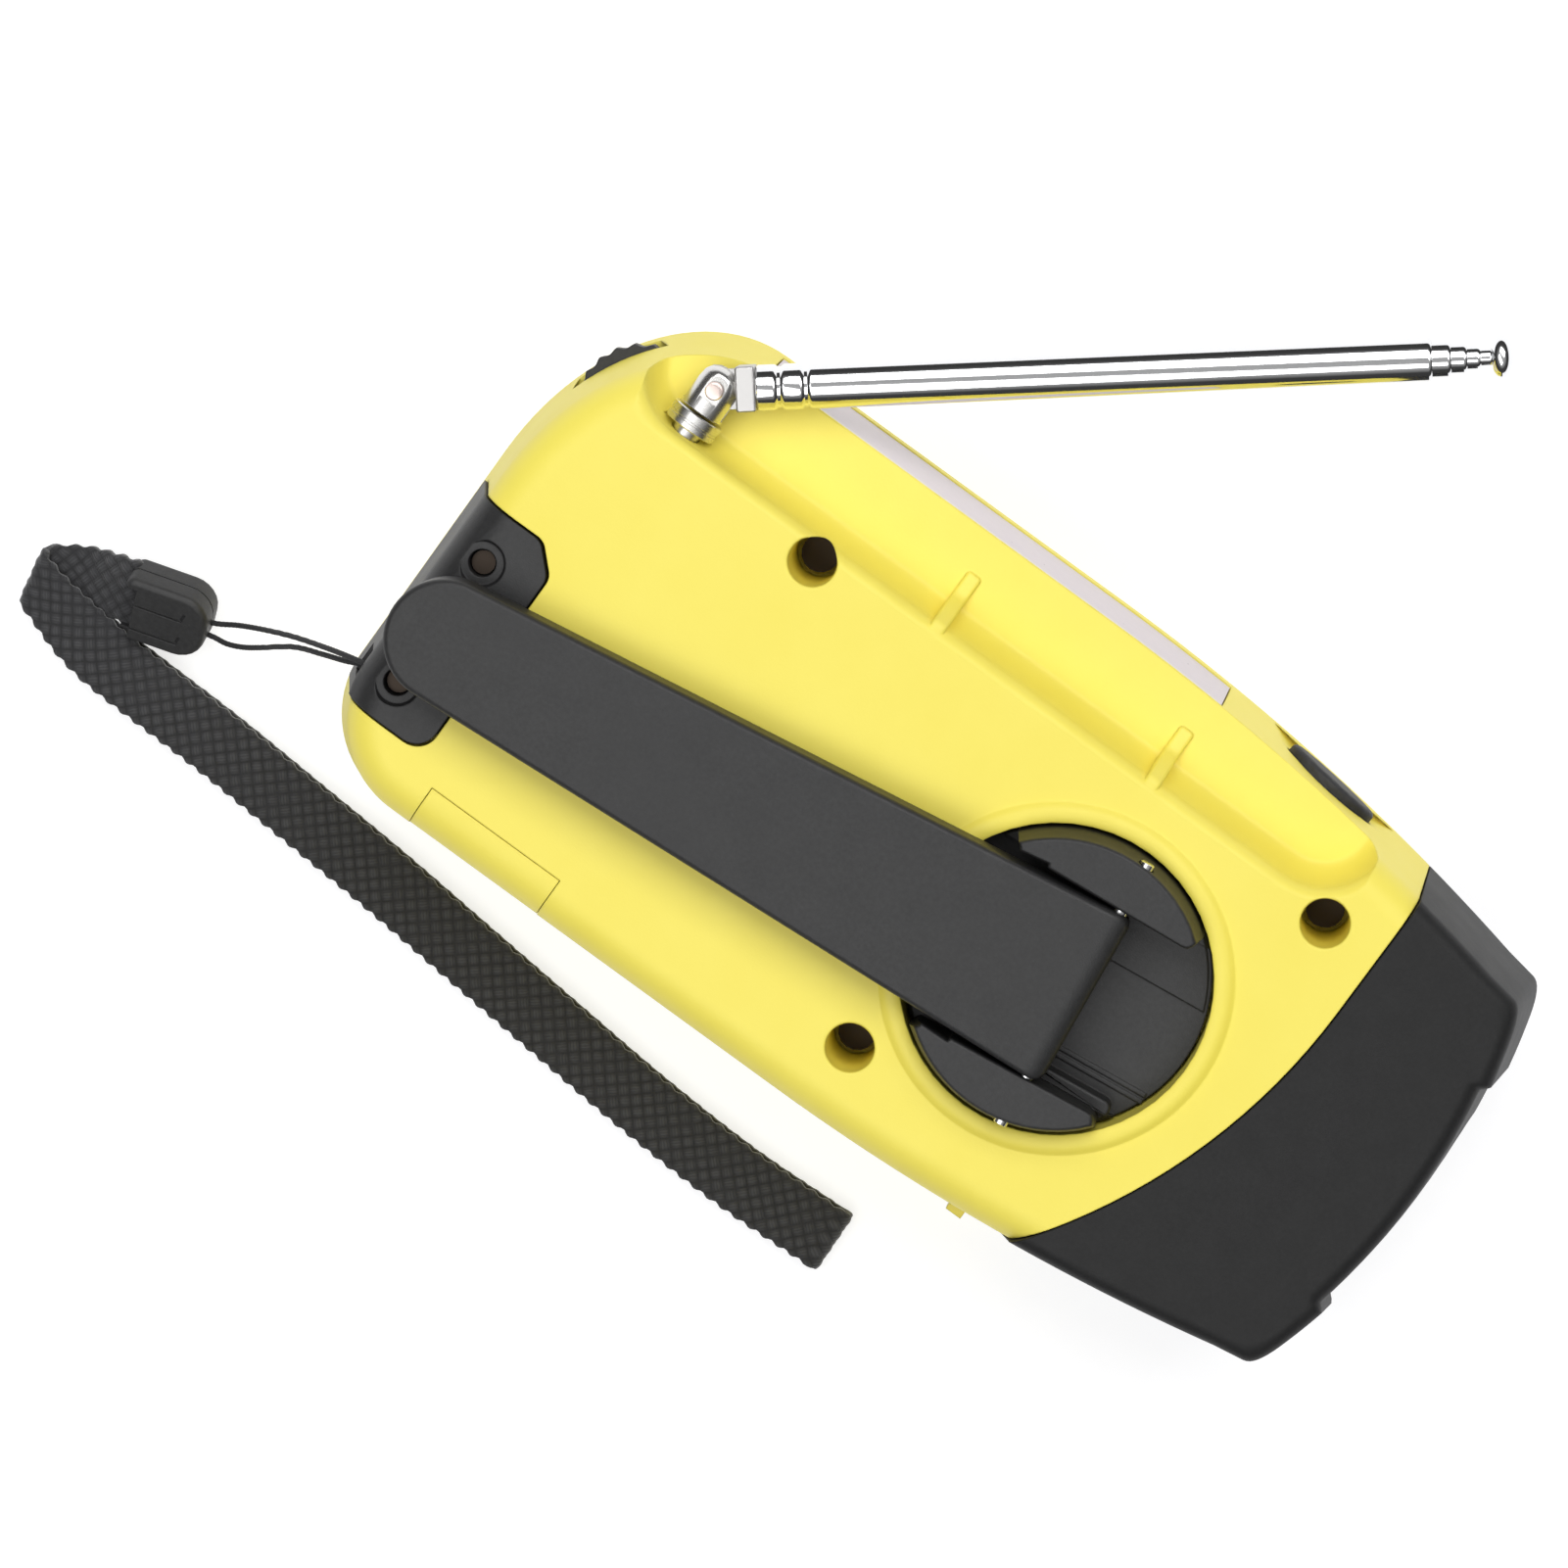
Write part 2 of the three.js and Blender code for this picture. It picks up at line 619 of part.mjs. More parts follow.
// ---------------------------------------------------------------- crank, in its own frame at the hub's centre
const channelHalf = armHubHalfWidth + 0.45;
const cheekTopZ = armTopZ - 1.4;
const hubFloorZ = recessFloor + 5.6;
const armTipX = -((hubX - strapEndX - armTipFromStrapEnd) / Math.cos(crankSlant));
const gripPivotX = armTipX + 7.6;
const gripZ = armBottomZ + gripRadius + 0.2;

function crankHub() {
  const disc = cylinderZ(hubRadius, recessFloor + 0.6, cheekTopZ, 0, 0, 40);
  const channel = box(-wide, wide, -channelHalf, channelHalf, hubFloorZ, wide);
  const ledges = [-1, 1].map((side) =>
    box(side > 0 ? 13.4 : -wide, side > 0 ? wide : -13.4, -wide, wide, hubFloorZ + 1.6, wide),
  );
  const shaft = cylinderZ(3, wheelLevel[0][0] - 0.6, recessFloor + 1, 0, 0, 20);
  const pinBore = cylinderY(hingePinRadius + runningGap, -wide, wide, hingeFromHub, hingeZ, 16);
  return cut(join(disc, shaft), channel, ...ledges, pinBore);
}

function crankArm() {
  const tipCentre = armTipX + armTipHalfWidth;
  const points = [
    new THREE.Vector2(armTailLength, -armHubHalfWidth),
    new THREE.Vector2(armTailLength, armHubHalfWidth),
    ...arcPoints(tipCentre, 0, armTipHalfWidth, armTipHalfWidth, Math.PI / 2, 1.5 * Math.PI, 10),
  ];
  const body = roundedPrism(points, armBottomZ, armTopZ, 0.7, 2);
  const hollow = box(gripPivotX - 2.3, gripPivotX + gripLength + 6, -2.8, 2.8, armBottomZ - 1, gripZ + gripRadius + 0.25);
  const gripBore = cylinderY(0.9 + runningGap, -5, 5, gripPivotX, gripZ, 12);
  const hingeBore = cylinderY(hingePinRadius + runningGap, -wide, wide, hingeFromHub, hingeZ, 16);
  return cut(body, hollow, gripBore, hingeBore);
}

function gripPost() {
  const knuckle = cylinderY(1.9, -2.4, 2.4, gripPivotX, gripZ, 14);
  const pin = cylinderY(0.9, -4.7, 4.7, gripPivotX, gripZ, 12);
  const post = cylinderX(gripPostRadius, gripPivotX + 1, gripPivotX + gripLength + 4.4, 0, gripZ, 14);
  const head = cylinderX(1.9, gripPivotX + gripLength + 3.6, gripPivotX + gripLength + 4.6, 0, gripZ, 14);
  return join(knuckle, pin, post, head);
}

function gripSleeve() {
  const start = gripPivotX + 2.8;
  const end = start + gripLength;
  const sleeve = turnedX(
    [
      [start, gripPostRadius + 0.2],
      [start, gripRadius - 0.4],
      [start + 0.6, gripRadius],
      [end - 0.6, gripRadius],
      [end, gripRadius - 0.4],
      [end, gripPostRadius + 0.2],
      [start, gripPostRadius + 0.2],
    ],
    14,
  );
  return sleeve.translate(0, 0, gripZ);
}

// ---------------------------------------------------------------- gear train and generator
const wheelLevel = [
  [partingZ + 3, partingZ + 7],
  [partingZ - 2, partingZ + 2],
  [partingZ - 7, partingZ - 3],
];
const centreDistance = (gearModule * (wheelTeeth + pinionTeeth)) / 2;
const trainDirections = [-35, 85, 150].map(THREE.MathUtils.degToRad);
const trainPlaces = [[hubX, hubY]];
for (const direction of trainDirections) {
  const [x, y] = trainPlaces.at(-1);
  trainPlaces.push([x + centreDistance * Math.cos(direction), y + centreDistance * Math.sin(direction)]);
}
const axleRadius = 1.2;

// A spur gear about its own centre, with one tooth centred on the direction toothAt.
function spurGear(teeth, z0, z1, toothAt) {
  const pitch = (2 * Math.PI) / teeth;
  const root = (gearModule * teeth) / 2 - 1.2 * gearModule;
  const tip = (gearModule * teeth) / 2 + 0.85 * gearModule;
  const points = [];
  for (let i = 0; i < teeth; i += 1) {
    const at = toothAt + pitch * i;
    for (const [radius, share] of [[root, -0.3], [tip, -0.1], [tip, 0.1], [root, 0.3]]) {
      const angle = at + pitch * share;
      points.push(new THREE.Vector2(radius * Math.cos(angle), radius * Math.sin(angle)));
    }
  }
  return prism(points, z0, z1);
}

const gapAt = (direction, teeth) => direction + Math.PI + Math.PI / teeth;

function driveGear() {
  const gear = spurGear(wheelTeeth, wheelLevel[0][0], wheelLevel[0][1], trainDirections[0] - crankSlant);
  return cut(gear, cylinderZ(3 + runningGap, -wide, wide, 0, 0, 20));
}

// A large gear and a pinion in one piece: the pinion meshes above, the large gear drives the next pinion.
function compoundGear(stage) {
  const [largeZ0, largeZ1] = wheelLevel[stage];
  const pinionTopZ = wheelLevel[stage - 1][1];
  const pinion = spurGear(pinionTeeth, largeZ1 - 0.5, pinionTopZ, gapAt(trainDirections[stage - 1], pinionTeeth));
  const large = spurGear(wheelTeeth, largeZ0, largeZ1, trainDirections[stage]);
  const bore = cylinderZ(axleRadius + runningGap, -wide, wide, 0, 0, 12);
  return cut(join(large, pinion), bore);
}

const generatorTopZ = partingZ - 9.2;

function generatorRotor() {
  const pinion = spurGear(pinionTeeth, wheelLevel[2][0], wheelLevel[2][1], gapAt(trainDirections[2], pinionTeeth));
  const shaft = cylinderZ(0.9, 7, wheelLevel[2][0] + 1, 0, 0, 12);
  return join(pinion, shaft);
}

function generatorBody() {
  const can = cylinderZ(11, 4.8, generatorTopZ, 0, 0, 28);
  return cut(can, cylinderZ(1.1, 6.4, wide, 0, 0, 12));
}

function gearPlate() {
  const z0 = partingZ - 8.8;
  const z1 = partingZ - 7.6;
  const [, first, second, rotor] = trainPlaces;
  const plate = common(
    box(hubX - 12, seamX + 0.5, first[1] - 9, rotor[1] + 5, z0, z1),
    caseBlock(wall + 3),
  );
  const feet = [
    [first[0] + 5, first[1] + 2],
    [hubX - 8, first[1] - 3],
  ].map(([x, y]) => cylinderZ(2, wall + 2.6, z0 + 0.5, x, y, 12));
  const holes = [first, second].map(([x, y]) => cylinderZ(axleRadius + 0.25, 0, wide, x, y, 12));
  return cut(join(plate, ...feet), ...holes, cylinderZ(2, 0, wide, rotor[0], rotor[1], 16));
}

// ---------------------------------------------------------------- lamp at the flat end
function lampReflector() {
  const front = reflectorFrontX;
  const back = front - reflectorDeep;
  return turnedX(
    [
      [back, 3.2],
      [back, 4.4],
      [back + 6, 9.2],
      [front, lampRadius],
      [front, lampRadius - 0.9],
      [back + 6.4, 8.2],
      [back + 0.8, 3.2],
      [back, 3.2],
    ],
    28,
  ).translate(0, lampY, partingZ);
}

function lampLedBoard() {
  const face = reflectorFrontX - reflectorDeep - 0.3;
  const profile = [
    [face - 1.2, 0],
    [face - 1.2, 9],
    [face, 9],
    [face, 2.6],
    [face + 1.8, 2.4],
    [face + 2.8, 1.4],
    [face + 3.1, 0],
  ];
  return turnedX(profile).translate(0, lampY, partingZ);
}

// ---------------------------------------------------------------- sides, front and inside
function readingWindow() {
  const band = cut(caseBlock(0.2), caseBlock(wall));
  return common(band, box(windowX0, windowX1, halfWidth - 12, wide, windowZ0, windowZ1));
}

function readingLedBoard() {
  const backY = sideAt(windowX1, windowZ1) - wall - 3.6;
  const board = box(windowX0 + 3, windowX1 - 3, backY, backY + 1, windowZ0 + 1, windowZ1 - 1);
  const leds = [0.1, 0.3, 0.5, 0.7, 0.9].map((share) => {
    const x = windowX0 + windowLength * share;
    return box(x - 1.4, x + 1.4, backY + 0.5, backY + 1.8, windowZ0 + 2.4, windowZ1 - 2.4);
  });
  return join(board, ...leds);
}

function alarmButton() {
  const proud = 0.9;
  const flangeY = -wall - 1.3;
  const flange = ovalY(buttonHalfLong + 0.8, buttonHalfHigh + 0.6, flangeY - 1.1, flangeY);
  const crown = ovalY(buttonHalfLong, buttonHalfHigh, flangeY - 0.2, proud - 0.6);
  const face = ovalY(buttonHalfLong - 0.7, buttonHalfHigh - 0.7, proud - 0.8, proud);
  return join(crown, flange, face);
}

function portCover() {
  const skin = cut(caseBlock(0.1, 3), caseBlock(wall));
  return common(skin, box(portX0, portX1, -wide, portTopY, portLowZ, wide));
}

function portSocket(x0, x1, height) {
  const y = -halfWidth + 5.2;
  const z = partingZ + 2.3;
  const shell = box(x0, x1, y, y + 11, z, z + height);
  return cut(shell, box(x0 + 0.6, x1 - 0.6, y - 1, y + 8, z + 0.6, z + height - 0.6));
}

function tuningWheel() {
  const points = [];
  const grips = 22;
  for (let i = 0; i < grips * 2; i += 1) {
    const radius = wheelRadius - (i % 2) * 0.45;
    const angle = (Math.PI * i) / grips;
    points.push(new THREE.Vector2(radius * Math.cos(angle), radius * Math.sin(angle)));
  }
  return join(prism(points, wheelZ0, wheelZ1), cylinderZ(1.5, wheelZ0 - 0.7, wheelZ0 + 1, 0, 0, 12));
}

function mainBoard() {
  const z0 = partingZ - 6;
  const y1 = halfWidth - 24;
  const board = join(
    box(strapEndX + 5, strapEndX + 53, -halfWidth + 6, y1, z0, z0 + 1.6),
    box(strapEndX + 5, strapEndX + 36, y1 - 1, halfWidth - 8, z0, z0 + 1.6),
  );
  const chips = [
    box(speakerX - 8, speakerX, -12, -4, z0 + 1, z0 + 3),
    box(speakerX + 6, speakerX + 12, 4, 10, z0 + 1, z0 + 3.4),
  ];
  return join(common(board, caseBlock(wall + 1)), ...chips);
}

function speaker() {
  return turnedZ(
    [[0, 3.4], [12, wall + 0.6], [18, wall + 0.6], [18, wall + 2.4], [9, 8.6], [9, 13], [0, 13]],
    24,
  ).translate(speakerX, 0, 0);
}

function bandSlide() {
  return join(
    box(bandX - 2.2, bandX + 2.2, bandY - 2, bandY + 2, 0.5, 2.2),
    box(bandX - 0.8, bandX + 0.8, bandY - 0.6, bandY + 0.6, 2, 7),
  );
}

// ---------------------------------------------------------------- wrist strap, clip and cord, as they lie
const clipPlace = [strapEndX - 26.7, -38.7, 5.2];
const clipTurn = THREE.MathUtils.degToRad(16.8);
const clipRoll = THREE.MathUtils.degToRad(30);
const clipLength = 12.4;
const clipWidth = 10.2;
const clipThick = 6.2;

function cordClip() {
  const round = 1.6;
  const points = [[-1, -1], [1, -1], [1, 1], [-1, 1]].map(
    ([x, y]) => new THREE.Vector2((x * clipLength) / 2, (y * clipWidth) / 2),
  );
  return roundedPrism(points, -clipThick / 2, clipThick / 2, round, 2);
}

// One cord from the clip up to the bracket, round the bracket's bar, and back down to the clip.
const cordAlong = [
  [-98.9, -37.2, 5.8],
  [-96.2, -35.2, 8.5],
  [-92.6, -32.7, 14],
  [-88.2, -29.7, 22.5],
  [-83.6, -27.1, 30.5],
  [-80.3, -25.5, 35.3],
  [-77.9, -24.6, 37.6],
  [-76.3, -24.2, 37.7],
  [-75, -24.2, 36.9],
  [-74.8, -24.3, 35.3],
  [-76, -24.4, 34.3],
  [-77.6, -25.2, 34.2],
  [-79.9, -26.5, 32.8],
  [-83.1, -28.2, 29],
  [-87.4, -30.9, 22],
  [-91.8, -35.2, 13.5],
  [-94, -37.2, 9.5],
  [-96.3, -38.6, 6.8],
  [-98.7, -39.3, 4.9],
];

function strapCord() {
  const path = new THREE.CatmullRomCurve3(cordAlong.map(([x, y, z]) => new THREE.Vector3(x, y, z)));
  const ring = arcPoints(0, 0, cordRadius, cordRadius, 0, 2 * Math.PI * (7 / 8), 7);
  return new THREE.ExtrudeGeometry(new THREE.Shape(ring), { steps: 62, extrudePath: path });
}

// The webbing leaves the clip, folds over on itself and runs back along the case, both runs lying together.
const strapOut = [
  [-114, -41.8],
  [-117, -43.1],
  [-120.1, -44.6],
  [-123, -47],
];
const strapBack = [
  [-124.4, -48],
  [-118, -49.6],
  [-112, -50.9],
  [-106, -51.1],
  [-90, -51.5],
  [-76, -52.3],
  [-60, -53.3],
  [-44, -54.7],
  [-28, -56.1],
  [-12, -57.4],
  [4, -58],
  [20.4, -57.4],
];

function ribbonPlan(places, width, steps) {
  const path = new THREE.SplineCurve(places.map(([x, y]) => new THREE.Vector2(x, y)));
  const edge = (side) =>
    Array.from({ length: steps + 1 }, (_, i) => {
      const tangent = path.getTangent(i / steps);
      const normal = new THREE.Vector2(-tangent.y, tangent.x);
      return path.getPoint(i / steps).addScaledVector(normal, (side * width) / 2);
    });
  return [...edge(-1), ...edge(1).reverse()];
}

function wristStrap() {
  const low = 0.2;
  const outRun = prism(ribbonPlan(strapOut, strapWidth, 4), low, low + strapLayer);
  const backRun = prism(ribbonPlan(strapBack, strapWidth, 30), low, low + strapStack);
  return join(backRun, outRun);
}

// ---------------------------------------------------------------- assembly
const radio = new THREE.Group();
radio.name = "emergency_radio";

addMesh(radio, "rear_case", rearCase(), yellowPlastic);
addMesh(radio, "front_case", frontCase(), yellowPlastic);
addMesh(radio, "end_bumper", endBumper(), softBlack);
addMesh(radio, "strap_bracket", strapBracket(), blackPlastic);

bracketScrewYs.forEach((y, i) => {
  const head = cylinderZ(1.6, caseHeight - 3.3, caseHeight - 2, bracketScrewX, y, 16);
  const shank = cylinderZ(0.95, caseHeight - 10.5, caseHeight - 3, bracketScrewX, y, 12);
  addMesh(radio, `bracket_screw_${i + 1}`, join(head, shank), steel);
});
caseScrews.forEach(([x, y], i) => {
  const headZ = caseHeight - wellDepth + 0.1;
  const head = cylinderZ(2.6, headZ, headZ + 2, x, y, 16);
  const shank = cylinderZ(1, headZ - 17, headZ + 0.5, x, y, 12);
  addMesh(radio, `case_screw_${i + 1}`, join(head, shank), steel);
});

// antenna: stud in the case, clevis turning on the stud, tang and tubes turning in the clevis
addMesh(radio, "antenna_stud", antennaStud(), chrome);
addMesh(radio, "antenna_clevis", antennaClevis(), chrome);
const pivotShank = cylinderZ(0.9, rodZ - 3, rodZ + 3.4, studX, rodY, 12);
const pivotHead = cylinderZ(1.25, rodZ + clevisRadius + 0.1, rodZ + clevisRadius + 0.5, studX, rodY, 16);
addMesh(radio, "antenna_pivot", join(pivotShank, pivotHead), steel);
const antenna = new THREE.Group();
antenna.position.set(studX, rodY, rodZ);
antenna.rotation.z = rodSwungOut;
radio.add(antenna);
addMesh(antenna, "antenna_tang", antennaTang(), chrome);
sectionEnds.forEach((_, i) => addMesh(antenna, `antenna_tube_${i + 1}`, antennaSection(i), chrome));
addMesh(antenna, "antenna_tip", antennaTip(), chrome);

// crank: hub in the recess, arm on the hinge pin, folding grip in the arm
const crank = new THREE.Group();
crank.position.set(hubX, hubY, 0);
crank.rotation.z = crankSlant;
radio.add(crank);
addMesh(crank, "crank_hub", crankHub(), blackPlastic);
const pinReach = Math.sqrt(hubRadius ** 2 - hingeFromHub ** 2) - 0.3;
addMesh(crank, "hinge_pin", cylinderY(hingePinRadius, -pinReach, pinReach, hingeFromHub, hingeZ, 16), steel);
addMesh(crank, "crank_arm", crankArm(), blackPlastic);
addMesh(crank, "grip_post", gripPost(), steel);
addMesh(crank, "grip_sleeve", gripSleeve(), blackPlastic);
addMesh(crank, "drive_gear", driveGear(), gearWhite);

// gear train from the crank to the generator
[1, 2].forEach((stage) => {
  const [x, y] = trainPlaces[stage];
  const gear = addMesh(radio, `train_gear_${stage}`, compoundGear(stage), gearWhite);
  gear.position.set(x, y, 0);
  const topZ = wheelLevel[stage - 1][1] + 0.6;
  addMesh(radio, `gear_axle_${stage}`, cylinderZ(axleRadius, partingZ - 8.6, topZ, x, y, 12), steel);
});
const [rotorX, rotorY] = trainPlaces[3];
addMesh(radio, "generator_rotor", generatorRotor(), steel).position.set(rotorX, rotorY, 0);
addMesh(radio, "generator_body", generatorBody(), steel).position.set(rotorX, rotorY, 0);
addMesh(radio, "gear_plate", gearPlate(), steel);

// lamp
addMesh(radio, "lamp_reflector", lampReflector(), chrome);
const lens = cylinderX(lampRadius - 0.1, lensSeatX - lensThick - 0.2, lensSeatX - 0.2, lampY, partingZ, 28);
addMesh(radio, "lamp_lens", lens, clearPlastic);
addMesh(radio, "lamp_led_board", lampLedBoard(), boardGreen);

// antenna side
addMesh(radio, "reading_window", readingWindow(), clearPlastic);
addMesh(radio, "reading_led_board", readingLedBoard(), boardGreen);
const button = addMesh(radio, "alarm_button", alarmButton(), blackPlastic);
button.position.set(buttonX, buttonSkinY, buttonZ);
button.rotation.z = buttonTurn;
const switchY = buttonSkinY - wall - 4;
const alarmSwitch = box(buttonX - 5, buttonX + 3, switchY - 6, switchY, buttonZ - 3, buttonZ + 3);
addMesh(radio, "alarm_switch", alarmSwitch, blackPlastic);

// side away from the antenna
const slideSkinY = -sideAt(slideX, slideZ);
const slidePlateY = slideSkinY + bumperWall + wall + 1.7;
const slideNeck = box(slideX - 1.2, slideX + 1.2, slideSkinY - 1.2, slidePlateY + 0.3, slideZ - 1.5, slideZ + 1.5);
const slidePlate = box(slideX - 5, slideX + 4, slidePlateY, slidePlateY + 1.2, slideZ - 2.8, slideZ + 2.8);
addMesh(radio, "lamp_slide", join(slideNeck, slidePlate), yellowPlastic);
const slideSwitchY = slidePlateY + 1.5;
const slideSwitch = box(slideX - 5, slideX + 5, slideSwitchY, slideSwitchY + 3.4, slideZ - 2, slideZ + 2.5);
addMesh(radio, "lamp_slide_switch", slideSwitch, steel);
addMesh(radio, "port_cover", portCover(), yellowPlastic);
const portBoard = box(portX0 + 1, portX1 - 1, -halfWidth + 5, -halfWidth + 20, partingZ + 0.7, partingZ + 1.9);
addMesh(radio, "port_board", portBoard, boardGreen);
addMesh(radio, "usb_socket", portSocket(portX0 + 1.6, portX0 + 9.6, 7), steel);
addMesh(radio, "micro_socket", portSocket(portX1 - 8, portX1 - 2, 3.2), steel);
const wheel = addMesh(radio, "tuning_wheel", tuningWheel(), blackPlastic);
wheel.position.set(wheelX, wheelY, 0);
const capacitorTopZ = wheelZ0 - 1;
const capacitor = box(wheelX - 4, wheelX + 4, wheelY - 4, wheelY + 4, partingZ - 4.1, capacitorTopZ);
addMesh(radio, "tuning_capacitor", capacitor, clearPlastic);

// front
const dialPane = box(dialX0 + fit, dialX1 - fit, -dialHalfY + fit, dialHalfY - fit, 0.3, 1.6);
addMesh(radio, "dial_window", dialPane, clearPlastic);
const dialMiddle = (dialX0 + dialX1) / 2;
const pointer = box(dialMiddle - 4, dialMiddle + 4, -0.5, 0.5, 2.3, 3.1);
const dialStart = -dialHalfY + 3;
addMesh(radio, "dial_pointer", pointer, pointerRed).position.y = dialStart;
const solarPane = box(solarX0 + fit, solarX1 - fit, -solarHalfY + fit, solarHalfY - fit, 0.3, 1.9);
addMesh(radio, "solar_panel", solarPane, solarBlue);
addMesh(radio, "speaker", speaker(), blackPlastic);
const knobCap = cylinderZ(6.1, 0.4, 3.2, knobX, knobY, 28);
addMesh(radio, "volume_knob", join(knobCap, cylinderZ(1.2, 3, 9, knobX, knobY, 12)), blackPlastic);
addMesh(radio, "band_slide", bandSlide(), blackPlastic);

// inside
addMesh(radio, "main_board", mainBoard(), boardGreen);
addMesh(radio, "battery_cell", cylinderY(9.2, -32.5, 32.5, -14, partingZ, 28), cellBlue);
addMesh(radio, "ferrite_rod", cylinderX(4, -60, -26, 4, caseHeight - 8.5, 18), ferriteGrey);
addMesh(radio, "ferrite_coil", tubeX(5.2, 4.3, -52, -34, 18).translate(0, 4, caseHeight - 8.5), copper);

// wrist strap
addMesh(radio, "strap_cord", strapCord(), webbingBlack);
const clip = addMesh(radio, "cord_clip", cordClip(), blackPlastic);
clip.position.set(...clipPlace);
clip.rotation.set(clipRoll, 0, clipTurn, "ZYX");
addMesh(radio, "wrist_strap", wristStrap(), webbingBlack);

export default radio;
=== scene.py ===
import math

import bmesh
import bpy
from mathutils import Matrix, Vector


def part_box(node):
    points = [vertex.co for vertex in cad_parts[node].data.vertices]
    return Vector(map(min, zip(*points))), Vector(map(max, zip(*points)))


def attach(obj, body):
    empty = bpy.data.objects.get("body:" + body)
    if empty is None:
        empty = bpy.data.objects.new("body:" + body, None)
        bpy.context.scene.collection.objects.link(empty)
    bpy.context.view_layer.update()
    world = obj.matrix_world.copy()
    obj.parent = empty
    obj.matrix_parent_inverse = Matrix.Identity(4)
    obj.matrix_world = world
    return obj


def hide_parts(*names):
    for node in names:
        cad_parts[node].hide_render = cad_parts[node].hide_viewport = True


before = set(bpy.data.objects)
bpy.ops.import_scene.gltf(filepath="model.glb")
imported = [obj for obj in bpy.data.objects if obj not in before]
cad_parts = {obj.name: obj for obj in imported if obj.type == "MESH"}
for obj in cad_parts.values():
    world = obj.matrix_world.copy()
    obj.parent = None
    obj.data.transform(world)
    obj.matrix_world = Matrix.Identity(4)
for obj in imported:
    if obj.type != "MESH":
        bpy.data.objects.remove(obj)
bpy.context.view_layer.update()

# ---------------------------------------------------------------- camera, floor and light
# The radio lies on its front on a pale sheet. The camera stands above it, leant 8 degrees to the
# antenna side and rolled by 36. Two wide softboxes hang overhead, with a dark gap between them.
camera = bpy.data.objects.new("camera", bpy.data.cameras.new("camera"))
bpy.context.scene.collection.objects.link(camera)
bpy.context.scene.camera = camera
camera.rotation_mode = "ZYX"
camera.rotation_euler = (math.radians(-8), 0, math.radians(36))
camera.location = (-0.022656, 0.118789, 0.914241)
camera.data.lens = 152.99
camera.data.sensor_width = 36
camera.data.clip_start = 0.05

bpy.context.scene.view_settings.view_transform = "Standard"


class Reading:
    """A number that a material's nodes give. Sums on it add their own Math nodes."""

    def __init__(self, finish, socket):
        self.finish, self.socket = finish, socket

    def sum(self, operation, first, second):
        return self.finish.node("Math", {"operation": operation}, {0: first, 1: second})

    def __add__(self, other):
        return self.sum("ADD", self, other)

    def __mul__(self, other):
        return self.sum("MULTIPLY", self, other)

    def __sub__(self, other):
        return self.sum("SUBTRACT", self, other)

    def __rsub__(self, other):
        return self.sum("SUBTRACT", other, self)

    __radd__ = __add__
    __rmul__ = __mul__


class Finish:
    """A material whose nodes are added one at a time round its Principled skin."""

    def __init__(self, name, tree=None, **skin):
        self.material = None if tree else bpy.data.materials.new(name)
        if self.material:
            self.material.use_nodes = True
        self.tree = tree or self.material.node_tree
        self.skin = self.tree.nodes.get("Principled BSDF")
        for key, value in skin.items():
            self.feed(self.skin.inputs[key.replace("_", " ")], value)

    def feed(self, socket, value):
        if isinstance(value, Reading):
            self.tree.links.new(value.socket, socket)
        elif isinstance(value, (tuple, list)) and len(socket.default_value) == 4:
            socket.default_value = (*value[:3], 1)
        else:
            socket.default_value = value

    def node(self, kind, settings=None, inputs=None, output=0):
        made = self.tree.nodes.new("ShaderNode" + kind)
        for key, value in (settings or {}).items():
            if key == "stops":
                ramp = made.color_ramp.elements
                while len(ramp) < len(value):
                    ramp.new(1)
                for stop, (place, tone) in zip(ramp, value):
                    stop.position = place
                    stop.color = (tone, tone, tone, 1)
            else:
                setattr(made, key, value)
        for key, value in (inputs or {}).items():
            self.feed(made.inputs[key], value)
        return Reading(self, made.outputs[output])

    def set(self, socket, value):
        self.feed(self.skin.inputs[socket], value)
        return self

    # what most finishes are made of
    def places(self):
        return self.node("TexCoord", output="Object")

    def along(self, axis, places=None):
        return self.node("SeparateXYZ", None, {0: places or self.places()}, output=axis)

    def noise(self, size, detail=2.0, rough=0.5):
        inputs = {"Scale": 1 / size, "Detail": detail, "Roughness": rough}
        return self.node("TexNoise", None, {"Vector": self.places(), **inputs})

    def sine(self, value):
        return self.node("Math", {"operation": "SINE"}, {0: value})

    def wave(self, value):
        return self.node("Math", {"operation": "ABSOLUTE"}, {0: self.sine(value)})

    def blend(self, share, first, second):
        made = self.tree.nodes.new("ShaderNodeMix")
        made.data_type = "RGBA"
        for socket, value in ((made.inputs[0], share), (made.inputs[6], first), (made.inputs[7], second)):
            self.feed(socket, value)
        return Reading(self, made.outputs[2])

    def within(self, value, low, high):
        span = {"From Min": low, "From Max": high, "To Min": 0.0, "To Max": 1.0}
        return self.node("MapRange", {"clamp": True}, {"Value": value, **span})

    def bump(self, height, depth, strength=1.0, edge=0.0):
        inputs = {"Height": height, "Distance": depth, "Strength": strength}
        if edge:
            inputs["Normal"] = self.node("Bevel", {"samples": 6}, {"Radius": edge})
        return self.set("Normal", self.node("Bump", None, inputs))


